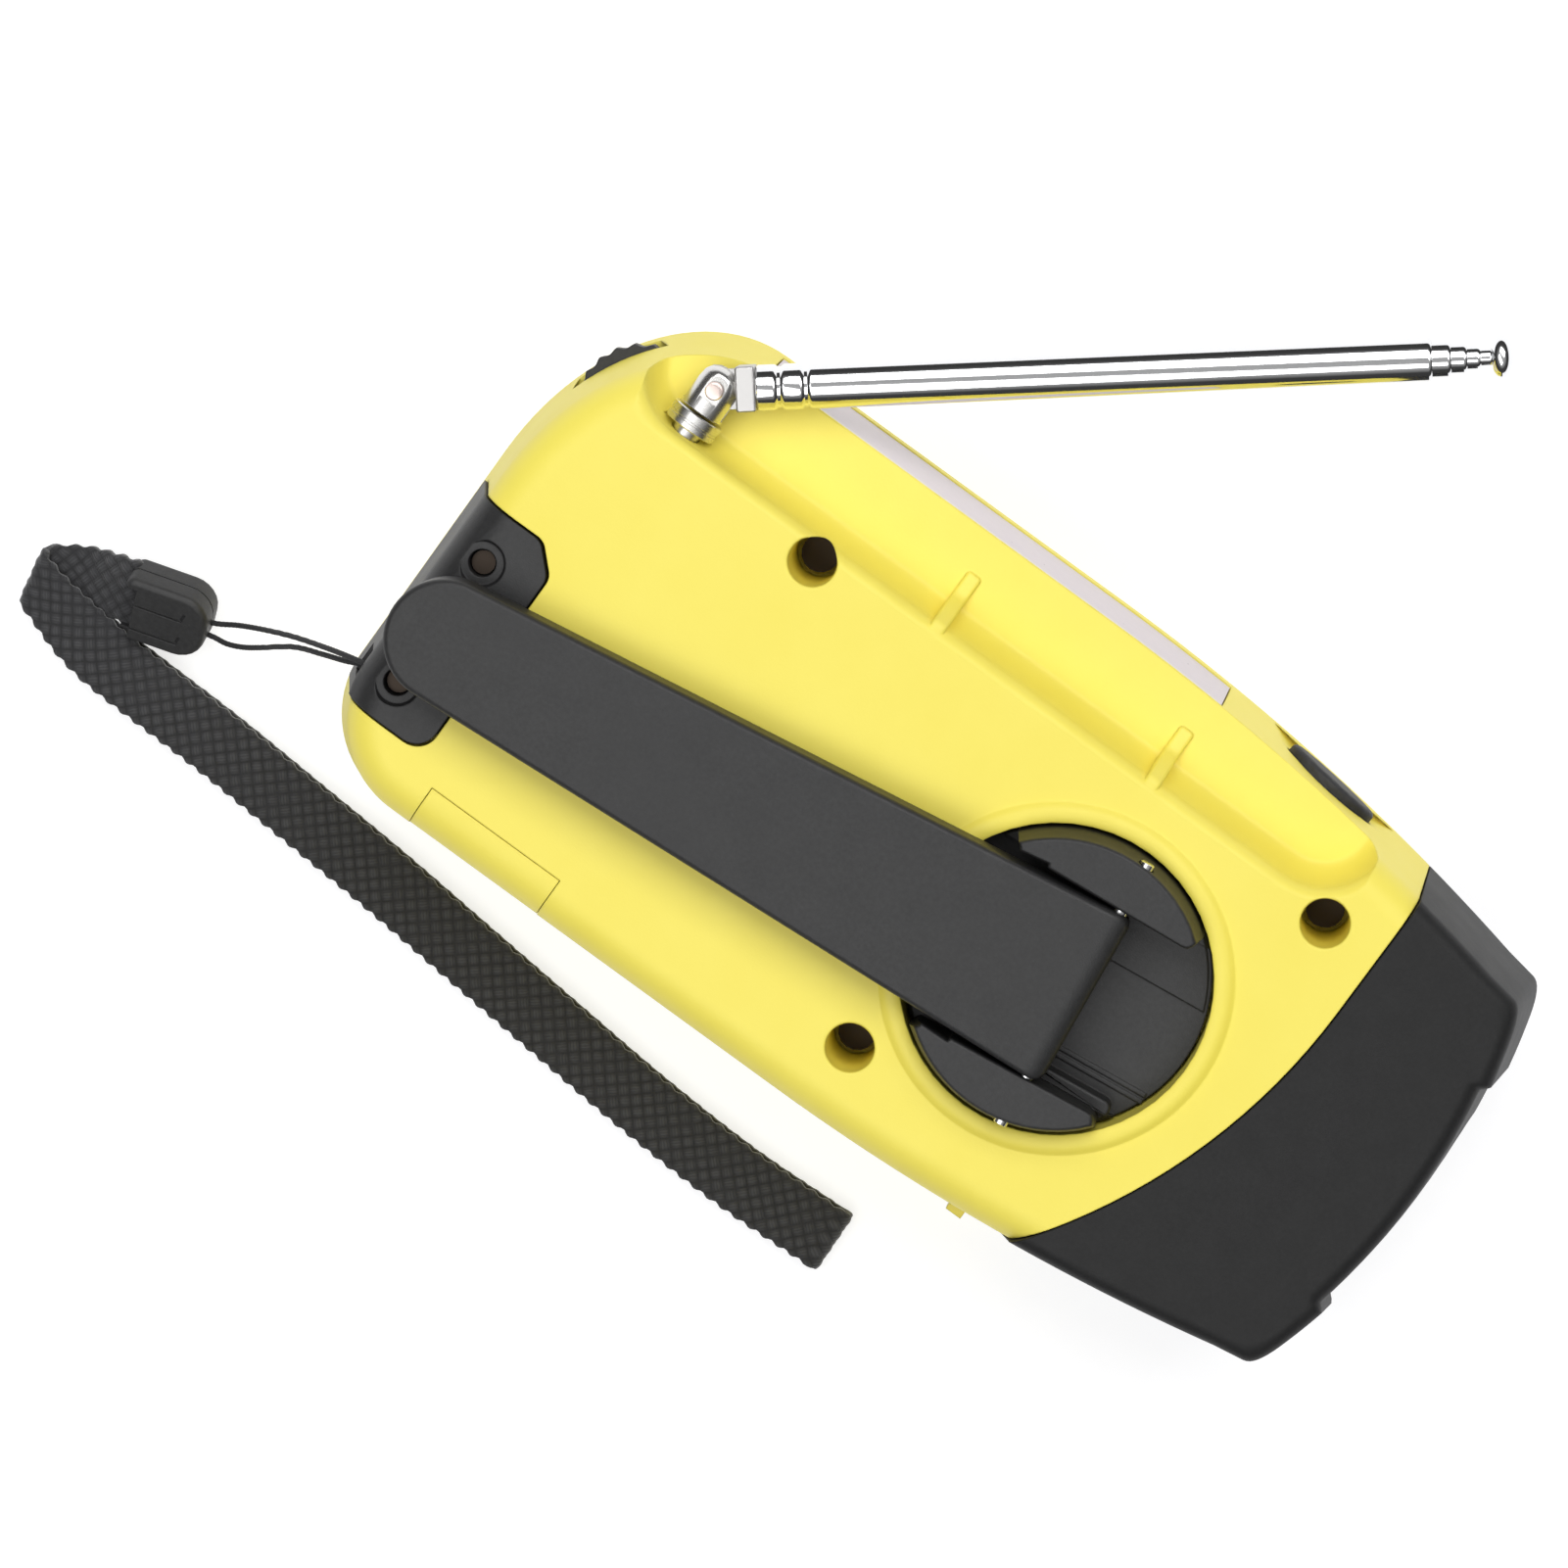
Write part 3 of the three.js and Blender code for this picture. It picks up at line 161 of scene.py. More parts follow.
floor_finish = Finish("pale_sheet", Roughness=0.9)
floor_finish.set(
    "Base Color", floor_finish.blend(floor_finish.noise(0.004), (0.42, 0.42, 0.43), (0.45, 0.45, 0.46))
)
floor_finish.set("Emission Color", (1, 1, 1)).set("Emission Strength", 0.72)
bpy.ops.object.select_all(action="DESELECT")
bpy.ops.mesh.primitive_plane_add(size=6, location=(0, 0, -0.0002))
floor = bpy.context.object
floor.name = "pale_floor"
floor.data.transform(Matrix.Translation(floor.location))
floor.location = (0, 0, 0)
floor.data.materials.append(floor_finish.material)

for name, place, size, watts in (
    ("antenna_side_softbox", (-0.12, 0.68, 1.12), (1.5, 0.8), 11.5),
    ("strap_side_softbox", (-0.1, -0.40, 1.2), (1.4, 0.6), 6.4),
):
    lamp = bpy.data.lights.new(name, "AREA")
    lamp.shape, lamp.size, lamp.size_y, lamp.energy = "RECTANGLE", *size, watts
    light = bpy.data.objects.new(name, lamp)
    light.location = place
    light.rotation_euler = (Vector((0, 0, 0)) - Vector(place)).to_track_quat("-Z", "Y").to_euler()
    bpy.context.scene.collection.objects.link(light)

world = bpy.data.worlds.new("studio")
bpy.context.scene.world = world
world.use_nodes = True
room = Finish("studio", tree=world.node_tree)
height = room.along("Z", room.node("TexCoord", output="Generated"))
walls = room.node(
    "ValToRGB", {"stops": [(0.0, 0.04), (0.45, 0.05), (0.7, 0.3), (1.0, 0.42)]}, {0: height}
)
room.feed(world.node_tree.nodes["Background"].inputs["Color"], walls)

# ---------------------------------------------------------------- carrying cord, clip and wrist strap
# A limp twisted cord loops through the bracket, and both its ends are held in a moulded clip.
# The clip pinches one flat braided webbing, which folds over beside it and runs back in two layers.
MM = 0.001


def alone(piece):
    bpy.ops.object.select_all(action="DESELECT")
    piece.select_set(True)
    bpy.context.view_layer.objects.active = piece


def change(piece, kind, **settings):
    """One modifier, set and applied."""
    step = piece.modifiers.new(kind, kind)
    for key, value in settings.items():
        setattr(step, key, value)
    alone(piece)
    bpy.ops.object.modifier_apply(modifier=step.name)
    return piece


def loft(name, rings):
    """A closed shell drawn out of a filled circle, one extrusion for each further ring of points."""
    bpy.ops.object.select_all(action="DESELECT")
    bpy.ops.mesh.primitive_circle_add(vertices=len(rings[0]), fill_type="NGON")
    piece = bpy.context.object
    piece.name = piece.data.name = name
    bpy.ops.object.mode_set(mode="EDIT")
    bpy.ops.mesh.select_mode(type="FACE")
    bpy.ops.mesh.select_all(action="SELECT")
    shape = bmesh.from_edit_mesh(piece.data)
    order = shape.verts.layers.int.new("order")
    for i, vertex in enumerate(shape.verts):
        vertex[order] = i
        vertex.co = rings[0][i]
    bmesh.update_edit_mesh(piece.data)
    for ring in rings[1:]:
        bpy.ops.mesh.extrude_region_move()
        shape = bmesh.from_edit_mesh(piece.data)
        order = shape.verts.layers.int["order"]
        for vertex in shape.verts:
            if vertex.select:
                vertex.co = ring[vertex[order]]
        bmesh.update_edit_mesh(piece.data)
    bpy.ops.mesh.select_all(action="SELECT")
    bpy.ops.mesh.normals_make_consistent(inside=False)
    bpy.ops.object.mode_set(mode="OBJECT")
    piece.data.attributes.remove(piece.data.attributes["order"])
    return piece


def combine(piece, tools, how="DIFFERENCE"):
    for tool in tools:
        change(piece, "BOOLEAN", operation=how, solver="MANIFOLD", object=tool)
        bpy.data.objects.remove(tool)
    return piece


def hand_over(piece, body, slot, finish, *nodes, sharp=35, weighted=True):
    """Brings a piece from millimetres to its place, smooths it, and lets it stand for its CAD nodes."""
    piece.data.transform(Matrix.Scale(MM, 4))
    alone(piece)
    bpy.ops.object.shade_smooth_by_angle(angle=math.radians(sharp))
    if weighted:
        change(piece, "WEIGHTED_NORMAL", keep_sharp=True, weight=80)
    piece.data.materials.clear()
    piece.data.materials.append(finish.material)
    if nodes:
        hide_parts(*nodes)
    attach(piece, body)
    return piece


def smooth_line(points, steps):
    """Points along a soft line through the given ones, evenly spread between them."""
    points = [Vector(p) for p in points]
    ends = [2 * points[0] - points[1], *points, 2 * points[-1] - points[-2]]
    line = []
    for a, b, c, d in zip(ends, ends[1:], ends[2:], ends[3:]):
        for i in range(steps):
            t = i / steps
            line.append(
                0.5 * (
                    2 * b + (c - a) * t + (2 * a - 5 * b + 4 * c - d) * t**2
                    + (3 * b - a - 3 * c + d) * t**3
                )
            )
    return [*line, points[-1]]


CORD_RADIUS = 0.4
CORD_ROUTE = [
    (
        -101.4, -38.5, 4.9
    ), (-98.9, -37.2, 5.8), (-96.2, -35.2, 8.5), (-92.6, -32.7, 14), (-88.2, -29.7, 22.5),
    (-83.6, -27.1, 30.5), (-80.3, -25.5, 35.3), (-77.9, -24.6, 37.6), (-76.3, -24.2, 37.7),
    (-75, -24.2, 36.9), (-74.8, -24.3, 35.3), (-76, -24.4, 34.3), (-77.6, -25.2, 34.2),
    (-79.9, -26.5, 32.8), (-83.1, -28.2, 29), (-87.4, -30.9, 22), (-91.8, -35.2, 13.5),
    (-94, -37.2, 9.5), (-96.3, -38.6, 6.8), (-98.7, -39.3, 4.9),
    (-101.2, -40.1, 4.4),
]
cord_line = smooth_line(CORD_ROUTE, 16)
cord_rings = []
side = Vector((0, 0, 1))
run = 0.0
for i, place in enumerate(cord_line):
    ahead = (cord_line[min(i + 1, len(cord_line) - 1)] - cord_line[max(i - 1, 0)]).normalized()
    side = (side - ahead * side.dot(ahead)).normalized()
    across = ahead.cross(side)
    run += (place - cord_line[i - 1]).length if i else 0
    ring = []
    for k in range(18):
        angle = 2 * math.pi * k / 18
        strand = abs(math.cos(1.5 * (angle + run * 2.6)))
        reach = CORD_RADIUS * (0.84 + 0.16 * strand)
        ring.append(place + reach * (math.cos(angle) * side + math.sin(angle) * across))
    cord_rings.append(ring)
cord_piece = loft("twisted_cord", cord_rings)

thread = Finish("black_thread", Roughness=0.75)
thread.set(
    "Base Color", thread.blend(thread.noise(0.0004, 3), (0.012, 0.012, 0.013), (0.04, 0.04, 0.042))
)
thread.bump(thread.noise(0.00012, 2), 0.00004)
cord_length = sum((b - a).length for a, b in zip(cord_line, cord_line[1:])) * MM


def arc(x, y, rx, ry, start, end, steps):
    turns = (start + (end - start) * i / steps for i in range(steps + 1))
    return [(x + rx * math.cos(a), y + ry * math.sin(a)) for a in turns]


def rounded(corners, steps=6):
    """An outline from corners of (x, y, radius)."""
    outline = []
    for i, (x, y, radius) in enumerate(corners):
        here = Vector((x, y))
        before = (Vector(corners[i - 1][:2]) - here).normalized()
        after = (Vector(corners[(i + 1) % len(corners)][:2]) - here).normalized()
        half = before.angle(after) / 2
        centre = here + (before + after).normalized() * radius / math.sin(half)
        start = here + before * radius / math.tan(half) - centre
        end = here + after * radius / math.tan(half) - centre
        first = math.atan2(start.y, start.x)
        sweep = (math.atan2(end.y, end.x) - first + math.pi) % (2 * math.pi) - math.pi
        outline += arc(centre.x, centre.y, radius, radius, first, first + sweep, steps)
    return outline


def plate(x0, x1, y0, y1, radius):
    """The outline of a rectangle with rounded corners."""
    return rounded([(x0, y0, radius), (x1, y0, radius), (x1, y1, radius), (x0, y1, radius)])


def drawn_in(outline, inset):
    """The outline, which runs anticlockwise, moved inwards all round."""
    if not inset:
        return outline
    moved = []
    for i, here in enumerate(outline):
        before = Vector(here) - Vector(outline[i - 1])
        after = Vector(outline[(i + 1) % len(outline)]) - Vector(here)
        first = Vector((-before.y, before.x)).normalized()
        second = Vector((-after.y, after.x)).normalized()
        way = (first + second) / max(0.4, 1 + first.dot(second))
        moved.append((here[0] + inset * way.x, here[1] + inset * way.y))
    return moved


def slab(name, outline, z0, z1, low=0.0, high=0.0, steps=4, shape=None, middle=()):
    """A plate of the given outline, whose lower and upper edges are rounded by low and high."""
    levels = []
    for k in range(steps + 1 if low else 1):
        turn = math.pi / 2 * k / steps if low else math.pi / 2
        levels.append((low * (1 - math.sin(turn)), z0 + low * (1 - math.cos(turn)) if low else z0))
    levels += [(0, z) for z in middle]
    for k in range(steps + 1 if high else 1):
        turn = math.pi / 2 * (1 - k / steps) if high else math.pi / 2
        levels.append((high * (1 - math.sin(turn)), z1 - high * (1 - math.cos(turn)) if high else z1))
    rings = [[(x, y, z) for x, y in drawn_in(outline, inset)] for inset, z in levels]
    if shape:
        rings = [[shape(*point) for point in ring] for ring in rings]
    return loft(name, rings)


def block(x0, x1, y0, y1, z0, z1):
    return slab("tool", [(x0, y0), (x1, y0), (x1, y1), (x0, y1)], z0, z1)


def fine_black(name, tone, rough, grain=0.00022, depth=0.00003, edge=0.0):
    """Moulded plastic with a fine spark texture: matte, with paler specks where it has been touched."""
    finish = Finish(name)
    speck = finish.within(finish.noise(0.0009, 4, rough=0.7), 0.62, 0.8)
    spark = finish.within(finish.noise(0.0007, 2, rough=0.6), 0.3, 0.7)
    low = (tone, tone, tone * 1.03)
    base = finish.blend(spark, tuple(c * 0.7 for c in low), tuple(c * 1.45 for c in low))
    base = finish.blend(finish.noise(0.02, 3), base, low)
    finish.set("Base Color", finish.blend(speck * 0.35, base, tuple(c * 2.6 for c in low)))
    finish.set("Roughness", rough + 0.1 * finish.noise(0.004, 3) - 0.05)
    return finish.bump(finish.noise(grain, 3), depth, 1.0, edge)


clip_finish = fine_black("clip_plastic", 0.022, 0.5, edge=0.0002)
clip_shape = slab(
    "cord_clamp", rounded([(-6.2, -5.1, 1.2), (6.2, -5.1, 3.9), (6.2, 5.1, 3.9), (-6.2, 5.1, 1.2)]), -3.1,
    3.1, 0.9, 0.9
)
mouth = slab("tool", plate(-8, -2.8, -4.5, 4.5, 0.5), -1.3, 1.3, 0.3, 0.3)
grooves = []
for line in (-3.1, 0.9):
    stem = [(-6.4, line, 0.15), (2.6, line, 0.3), (2.6, line + 0.4, 0.15), (-6.4, line + 0.4, 0.15)]
    foot = [(2.2, line, 0.15), (2.6, line, 0.15), (3.0, line + 1.5, 0.15), (2.6, line + 1.5, 0.15)]
    grooves += [slab("tool", rounded(stem), 2.75, 3.5), slab("tool", rounded(foot), 2.8, 3.5)]
parting = slab("tool", plate(-9, 9, -5.9, 5.9, 0.5), -0.12, 0.12)
inner = slab("tool", rounded([(-6, -4.9, 1), (6, -4.9, 3.6), (6, 4.9, 3.6), (-6, 4.9, 1)]), -0.5, 0.5)
combine(parting, [inner])
open_end = block(-8, -4.4, -6, 3.8, 1.0, 5)
combine(clip_shape, [mouth, open_end, *grooves, parting])
clip_turn = Matrix.Rotation(math.radians(16.8), 4, "Z") @ Matrix.Rotation(math.radians(30), 4, "X")
clip_low, clip_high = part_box("cord_clip")
clip_middle = (clip_low + clip_high) / 2 / MM + Vector((0.5, -1.1, 0))
clip_shape.data.transform(Matrix.Translation(clip_middle) @ clip_turn)
clip_piece = hand_over(clip_shape, "case", "black_plastic", clip_finish, "cord_clip")
hand_over(cord_piece, "case", "webbing_black", thread, "strap_cord", sharp=60, weighted=False)
[
        tuple(p * MM) for p in cord_line
    ]

WEB_WIDTH = 9.5
WEB_PLY = 1.35
LOW_LAYER, TOP_LAYER = 0.95, 2.95
OUT_PLAN = [(-110.4, -40.6), (-113.2, -41.6), (-116.2, -42.9), (-119.4, -44.4), (-122.4, -46.2)]
CREASE_AT, CREASE_TURN = Vector((-123.0, -47.5)), math.radians(101)
BACK_PLAN = [
    (-118, -49.4), (-112, -50.6), (-106, -51.1), (-90, -51.5), (-76, -52.3), (-60, -53.3),
    (-44, -54.7), (-28, -56.1), (-12, -57.4), (4, -58), (18.6, -57.5),
]
curl = (TOP_LAYER - LOW_LAYER) / 2
along_crease = Vector((math.cos(CREASE_TURN), math.sin(CREASE_TURN)))
past_crease = Vector((-along_crease.y, along_crease.x))


def unfolded(x, y):
    """Where a point of the upper run would lie if the webbing had not been folded at the crease."""
    place = Vector((x, y)) - CREASE_AT
    return CREASE_AT + along_crease * place.dot(along_crease) + past_crease * (
        math.pi * curl - place.dot(past_crease)
    )


def folded(place, height):
    """A point of the flat webbing after the fold at the crease."""
    flat = place - CREASE_AT
    past, kept = flat.dot(past_crease), flat.dot(along_crease)
    turn = min(max(past / curl, 0), math.pi)
    reach = curl * math.sin(turn) + min(past, 0) - max(past - math.pi * curl, 0)
    spot = CREASE_AT + along_crease * kept + past_crease * reach
    return Vector((spot.x, spot.y, height + curl * (1 - math.cos(turn))))


plan = smooth_line([*OUT_PLAN, *(unfolded(*p) for p in BACK_PLAN)], 30)
STEP = 0.42
evened, left = [plan[0]], 0.0
for a, b in zip(plan, plan[1:]):
    gap = (b - a).length
    while left + gap >= STEP:
        a = a + (b - a) * ((STEP - left) / gap)
        gap, left = (b - a).length, 0.0
        evened.append(a)
    left += gap
ACROSS, END_STEPS = 24, 9
CHECK = 2.3
RISE_LENGTH = 9.5
rows = []
mouth_height = clip_middle.z - 0.6
for i, place in enumerate(evened):
    ahead = (evened[min(i + 1, len(evened) - 1)] - evened[max(i - 1, 0)]).normalized()
    left_hand = Vector((-ahead.y, ahead.x))
    scallop = 0.28 * abs(
        math.sin(math.pi * i * STEP / CHECK)
    ) - 0.95 * math.exp(-(((i * STEP - 17.5) / 7) ** 2))
    rise = max(0.0, 1 - i * STEP / RISE_LENGTH)
    rise = rise * rise * (3 - 2 * rise)
    row = []
    for k in range(ACROSS + 1):
        share = 2 * k / ACROSS - 1
        spot = folded(place + left_hand * share * (WEB_WIDTH / 2 - 0.1 + scallop), LOW_LAYER)
        spot.z += rise * (mouth_height - LOW_LAYER - share * 2.2)
        row.append(spot)
    rows.append(row)
end_row, before_row = rows[-1], rows[-3]
way = ((end_row[12] - before_row[12]) * Vector((1, 1, 0))).normalized()
for k in range(1, END_STEPS):
    angle = math.pi * k / END_STEPS
    drop = Vector(
        (
            way.x * 1.6 * curl * math.sin(angle), way.y * 1.6 * curl * math.sin(angle),
            curl * (math.cos(angle) - 1)
        )
    )
    rows.append([spot + drop for spot in end_row])
for row in reversed(rows[34:-END_STEPS + 1]):
    if min(spot.x for spot in row) < -116 or min(spot.z for spot in row) < TOP_LAYER - 0.1:
        break
    rows.append([spot - Vector((0, 0, 2 * curl)) for spot in row])

bpy.ops.object.select_all(action="DESELECT")
bpy.ops.mesh.primitive_grid_add(x_subdivisions=ACROSS, y_subdivisions=len(rows) - 1, size=1)
webbing = bpy.context.object
webbing.name = webbing.data.name = "braided_webbing"
weave = webbing.data.attributes.new("unbent", "FLOAT_VECTOR", "POINT")
for i, row in enumerate(rows):
    for k, spot in enumerate(row):
        number = i * (ACROSS + 1) + k
        webbing.data.vertices[number].co = spot
        weave.data[number].vector = ((k / ACROSS - 0.5) * WEB_WIDTH * MM, i * STEP * MM, 0)
change(webbing, "SOLIDIFY", thickness=WEB_PLY, offset=0, use_even_offset=False)
webbing.data.update()
lifts = []
weave = webbing.data.attributes["unbent"]
for vertex, mark in zip(webbing.data.vertices, weave.data):
    a, l, _ = mark.vector / MM
    p, q = math.pi * (l + a) / CHECK, math.pi * (l - a) / CHECK
    edge = max(0.0, abs(a) / (WEB_WIDTH / 2) - 0.82) / 0.18
    lifts.append(
        vertex.normal * (
            0.26 * abs(math.sin(p)) ** 0.6 * abs(math.sin(q)) ** 0.6 - 0.22 - 0.3 * edge * edge
        )
    )
for vertex, lift in zip(webbing.data.vertices, lifts):
    vertex.co += lift

cloth = Finish("braided_polyester", Roughness=0.85)
own = cloth.node("Attribute", {"attribute_name": "unbent"}, output="Vector")
across_way, along_way = cloth.along("X", own), cloth.along("Y", own)
first = (along_way + across_way) * (math.pi / (CHECK * MM))
second = (along_way - across_way) * (math.pi / (CHECK * MM))


yarn = cloth.wave(first) * cloth.wave(second)
which = cloth.sine(first) * cloth.sine(second)
over = cloth.within(which, -0.05, 0.05)
fibres = cloth.blend(over, cloth.wave(first * 4.0), cloth.wave(second * 4.0))
fibres = cloth.node("RGBToBW", None, {0: fibres})
# Painted shade: the braid's colour darkens in the gaps between the crossing yarns and lightens on their
# crests, following the same relief the webbing's surface is lifted by.
tone = cloth.within(yarn, 0.0, 0.8)
braid_colour_with_painted_shade = cloth.blend(tone, (0.010, 0.010, 0.011), (0.036, 0.036, 0.039))
worn = cloth.within(cloth.noise(0.0022, 3, rough=0.65), 0.38, 0.66)
braid_colour_with_painted_shade = cloth.blend(worn, braid_colour_with_painted_shade, (0.019, 0.019, 0.021))
# The paler fibre streaks are fibre texture, painted strongest on the yarn crests as a painted highlight
# there.
cloth.set("Base Color", cloth.blend(0.35 * fibres * tone, braid_colour_with_painted_shade, (0.085, 0.085, 0.09)))
cloth.skin.inputs["Sheen Weight"].default_value = 0.35
cloth.skin.inputs["Sheen Roughness"].default_value = 0.5
cloth.bump(fibres * 0.5 + cloth.noise(0.00015, 3) * 0.5, 0.00008)
hand_over(webbing, "case", "webbing_black", cloth, "wrist_strap", sharp=80, weighted=False)

# ---------------------------------------------------------------- rear case half
# Satin yellow ABS moulding, 2 mm thick, which holds the hub's round recess with its raised rim,
# the antenna's long trough with two ribs, three deep screw wells and a pocket for the strap bracket.
HALF_LENGTH, HALF_WIDTH, CASE_HEIGHT = 79.5, 40.5, 44
PARTING = CASE_HEIGHT / 2
WALL, FIT, BUMPER_WALL = 2, 0.3, 2.6
EDGE, DRAFT = 5.5, 2.5
FLANK_RADIUS, END_RADIUS, STRAP_CORNER = 320, 98, 14.3
ANTENNA_CORNER_RUN, ANTENNA_CORNER_RISE = 23.5, 32.5
LENS_BORE = 13.3
SEAM = 53.9
FAR = 300


def side_reach(x, inset=0):
    radius = FLANK_RADIUS - inset
    return HALF_WIDTH - inset - radius + math.sqrt(radius**2 - max(0, x) ** 2)


def end_reach(y, inset=0):
    return HALF_LENGTH - inset - END_RADIUS + math.sqrt(END_RADIUS**2 - y**2)


def ease(value, low, high):
    share = min(max((value - low) / (high - low), 0), 1)
    return share * share * (3 - 2 * share)


def case_outline(inset, lug=0.0):
    """The case seen from behind, drawn in by inset. The lugs push both corners of the lamp end out."""
    strap_x, width = inset - HALF_LENGTH, HALF_WIDTH - inset
    side_x = HALF_LENGTH - inset - 6.7
    side_y = side_reach(side_x, inset)
    end_y = side_y - 4.6
    end_x = end_reach(end_y, inset)
    side_slope = -side_x / math.sqrt((FLANK_RADIUS - inset) ** 2 - side_x**2)
    end_slope = -end_y / math.sqrt(END_RADIUS**2 - end_y**2)
    meet_x = (end_x + end_slope * (side_y - side_slope * side_x - end_y)) / (1 - side_slope * end_slope)
    meet_y = side_y + side_slope * (meet_x - side_x)
    flank = [(side_x * i / 22, side_reach(side_x * i / 22, inset)) for i in range(22)]
    corner = []
    for i in range(9):
        t = i / 8
        x = side_x * (1 - t) ** 2 + 2 * meet_x * t * (1 - t) + end_x * t**2
        y = side_y * (1 - t) ** 2 + 2 * meet_y * t * (1 - t) + end_y * t**2
        corner.append((x + lug * ease(x, 68, 74), y))
    end = []
    for share in (
        0.95, 0.9, 0.86, 0.83, 0.8, 0.775, 0.75, 0.73, 0.71, 0.69, 0.67, 0.64, 0.6, 0.5, 0.38, 0.25, 0.12
    ):
        y = end_y * share
        end.append((end_reach(y, inset) + lug * ease(y, 18.7, 20.1), y))
    half = [*flank, *corner, *end]
    small, run, rise = (size - inset for size in (STRAP_CORNER, ANTENNA_CORNER_RUN, ANTENNA_CORNER_RISE))
    strap_corner = arc(strap_x + small, small - width, small, small, math.pi, 1.5 * math.pi, 16)
    antenna_corner = arc(strap_x + run, width - rise, run, rise, math.pi / 2, math.pi, 26)
    lower = [(x, -y) for x, y in half]
    return [*strap_corner, *lower, (end_reach(0, inset), 0), *reversed(half), *antenna_corner]


def case_block(name, inset, lug=0.0, edge=EDGE, steps=7):
    """The case as one block: its edges are rounded, and its sides lean in from the parting line."""
    round_off = max(edge - inset, 1.2)
    levels = []
    for k in range(steps + 1):
        turn = math.pi / 2 * k / steps
        levels.append(
            (inset + round_off * (1 - math.sin(turn)), inset + round_off * (1 - math.cos(turn)))
        )
    levels.append((inset, PARTING))
    levels += [(drawn, CASE_HEIGHT - z) for drawn, z in reversed(levels[:-1])]
    rings = []
    for drawn, z in levels:
        lean = DRAFT * min(1, abs(z - PARTING) / (PARTING - EDGE))
        thin_x, thin_y = 1 - lean / HALF_LENGTH, 1 - lean / HALF_WIDTH
        rings.append([(x * thin_x, y * thin_y, z) for x, y in case_outline(drawn, lug)])
    return loft(name, rings)


def strap_side(shift):
    """Everything on the strap side of the seam, which curves back towards the lower edge."""
    edge = SEAM + shift
    bow = arc(edge - 85, 15, 85, 85, -0.86, 0, 24)
    return slab("tool", [(-FAR, bow[0][1]), *bow, (edge, FAR), (-FAR, FAR)], -FAR, FAR)


def common(piece, *tools):
    return combine(piece, tools, "INTERSECT")


def turned(name, profile, sides=64, axis="X"):
    """A round piece from points of distance along its axis and radius."""
    rings = []
    for along, radius in profile:
        turns = [2 * math.pi * k / sides for k in range(sides)]
        if axis == "X":
            rings.append([(along, radius * math.cos(t), radius * math.sin(t)) for t in turns])
        elif axis == "Y":
            rings.append([(radius * math.sin(t), along, radius * math.cos(t)) for t in turns])
        else:
            rings.append([(radius * math.cos(t), radius * math.sin(t), along) for t in turns])
    return loft(name, rings)


def moved(piece, x=0, y=0, z=0):
    piece.data.transform(Matrix.Translation((x, y, z)))
    return piece


def bore(radius, start, end, sides=64, axis="X"):
    return turned("tool", [(start, radius), (end, radius)], sides, axis)


def lens_bore(radius, x0, x1):
    return moved(bore(radius, x0, x1), z=PARTING)


STUD_X, ROD_Y, ROD_Z = -60.4, 33, 39.2
HUB_X, HUB_Y, HUB_RADIUS = 21.5, -3.2, 20.4
RECESS_FLOOR = 33
TROUGH_FLOOR, TROUGH_FOOT, TROUGH_END = 35.2, 28.5, 46.7
BRACKET_SCREWS = [(-72, -3.4), (-72, -22.9)]
CASE_SCREWS = [
    (STUD_X + 23.6, HALF_WIDTH - 18), (SEAM - 8.3, HALF_WIDTH - 16.8), (HUB_X - 16.6, HUB_Y - 23.7)
]


def trough(grow, lip=0.0):
    """The antenna's trough: a hollow foot that rises into steep walls, open on the antenna side."""
    depth = CASE_HEIGHT - TROUGH_FLOOR
    levels = [(3 * math.sin(t), -depth * math.cos(t)) for t in (math.pi / 2 * k / 12 for k in range(13))]
    if lip:
        levels = [level for level in levels if level[1] < -lip]
        levels += [
            (2.98 + 0.75 * lip * (1 - math.cos(t)), lip * (math.sin(t) - 1))
            for t in (math.pi / 2 * k / 8 for k in range(9))
        ]
    levels.append((levels[-1][0], 12))
    rings = []
    for spread, z in levels:
        corner = 6 + grow + spread
        inner, end = TROUGH_FOOT - grow - spread, TROUGH_END - 3 + grow + spread
        start = STUD_X - 7.4 - grow - spread - 1.5 * max(0, spread - 3)
        points = arc(start + corner, inner + corner, corner, corner, math.pi, 1.5 * math.pi, 12)
        points += arc(end - corner, inner + corner, corner, corner, -math.pi / 2, 0, 12)
        points += [(end, HALF_WIDTH + 20), (start, HALF_WIDTH + 20)]
        rings.append([(x, y, CASE_HEIGHT - grow + z) for x, y in points])
    return loft("tool", rings)


def rib(x):
    """A low soft rib across the trough, which keeps the folded antenna off the case."""
    profile = [
        (23.9, 43.8, 0.2), (25.9, 43.8, 1.2), (29.4, 36.6, 1.6), (32.9, 35.7, 0.4), (32.9, 34.2, 0.1),
        (23.9, 34.2, 0.1)
    ]
    piece = slab("tool", rounded(profile[::-1], 5), -1.1, 1.1, 0.5, 0.5, 3)
    piece.data.transform(Matrix(((0, 0, 1, x), (1, 0, 0, 0), (0, 1, 0, 0), (0, 0, 0, 1))))
    alone(piece)
    bpy.ops.object.mode_set(mode="EDIT")
    bpy.ops.mesh.select_all(action="SELECT")
    bpy.ops.mesh.normals_make_consistent(inside=False)
    bpy.ops.object.mode_set(mode="OBJECT")
    return piece


BRACKET_LOW_Y, BRACKET_HIGH_Y, BRACKET_FAR_X, BRACKET_LOW_Z = -28.6, 3.6, -63.8, 27


def bracket_zone(grow):
    far, low, high = BRACKET_FAR_X + grow, BRACKET_LOW_Y - grow, BRACKET_HIGH_Y + grow
    corners = [
        (-HALF_LENGTH - 20, low, 0.5), (far, low, 3.2), (far, high - 3.6, 2.4), (far - 3.6, high, 2.4),
        (-HALF_LENGTH - 20, high, 0.5)
    ]
    return slab("tool", rounded(corners, 8), BRACKET_LOW_Z - grow, FAR)


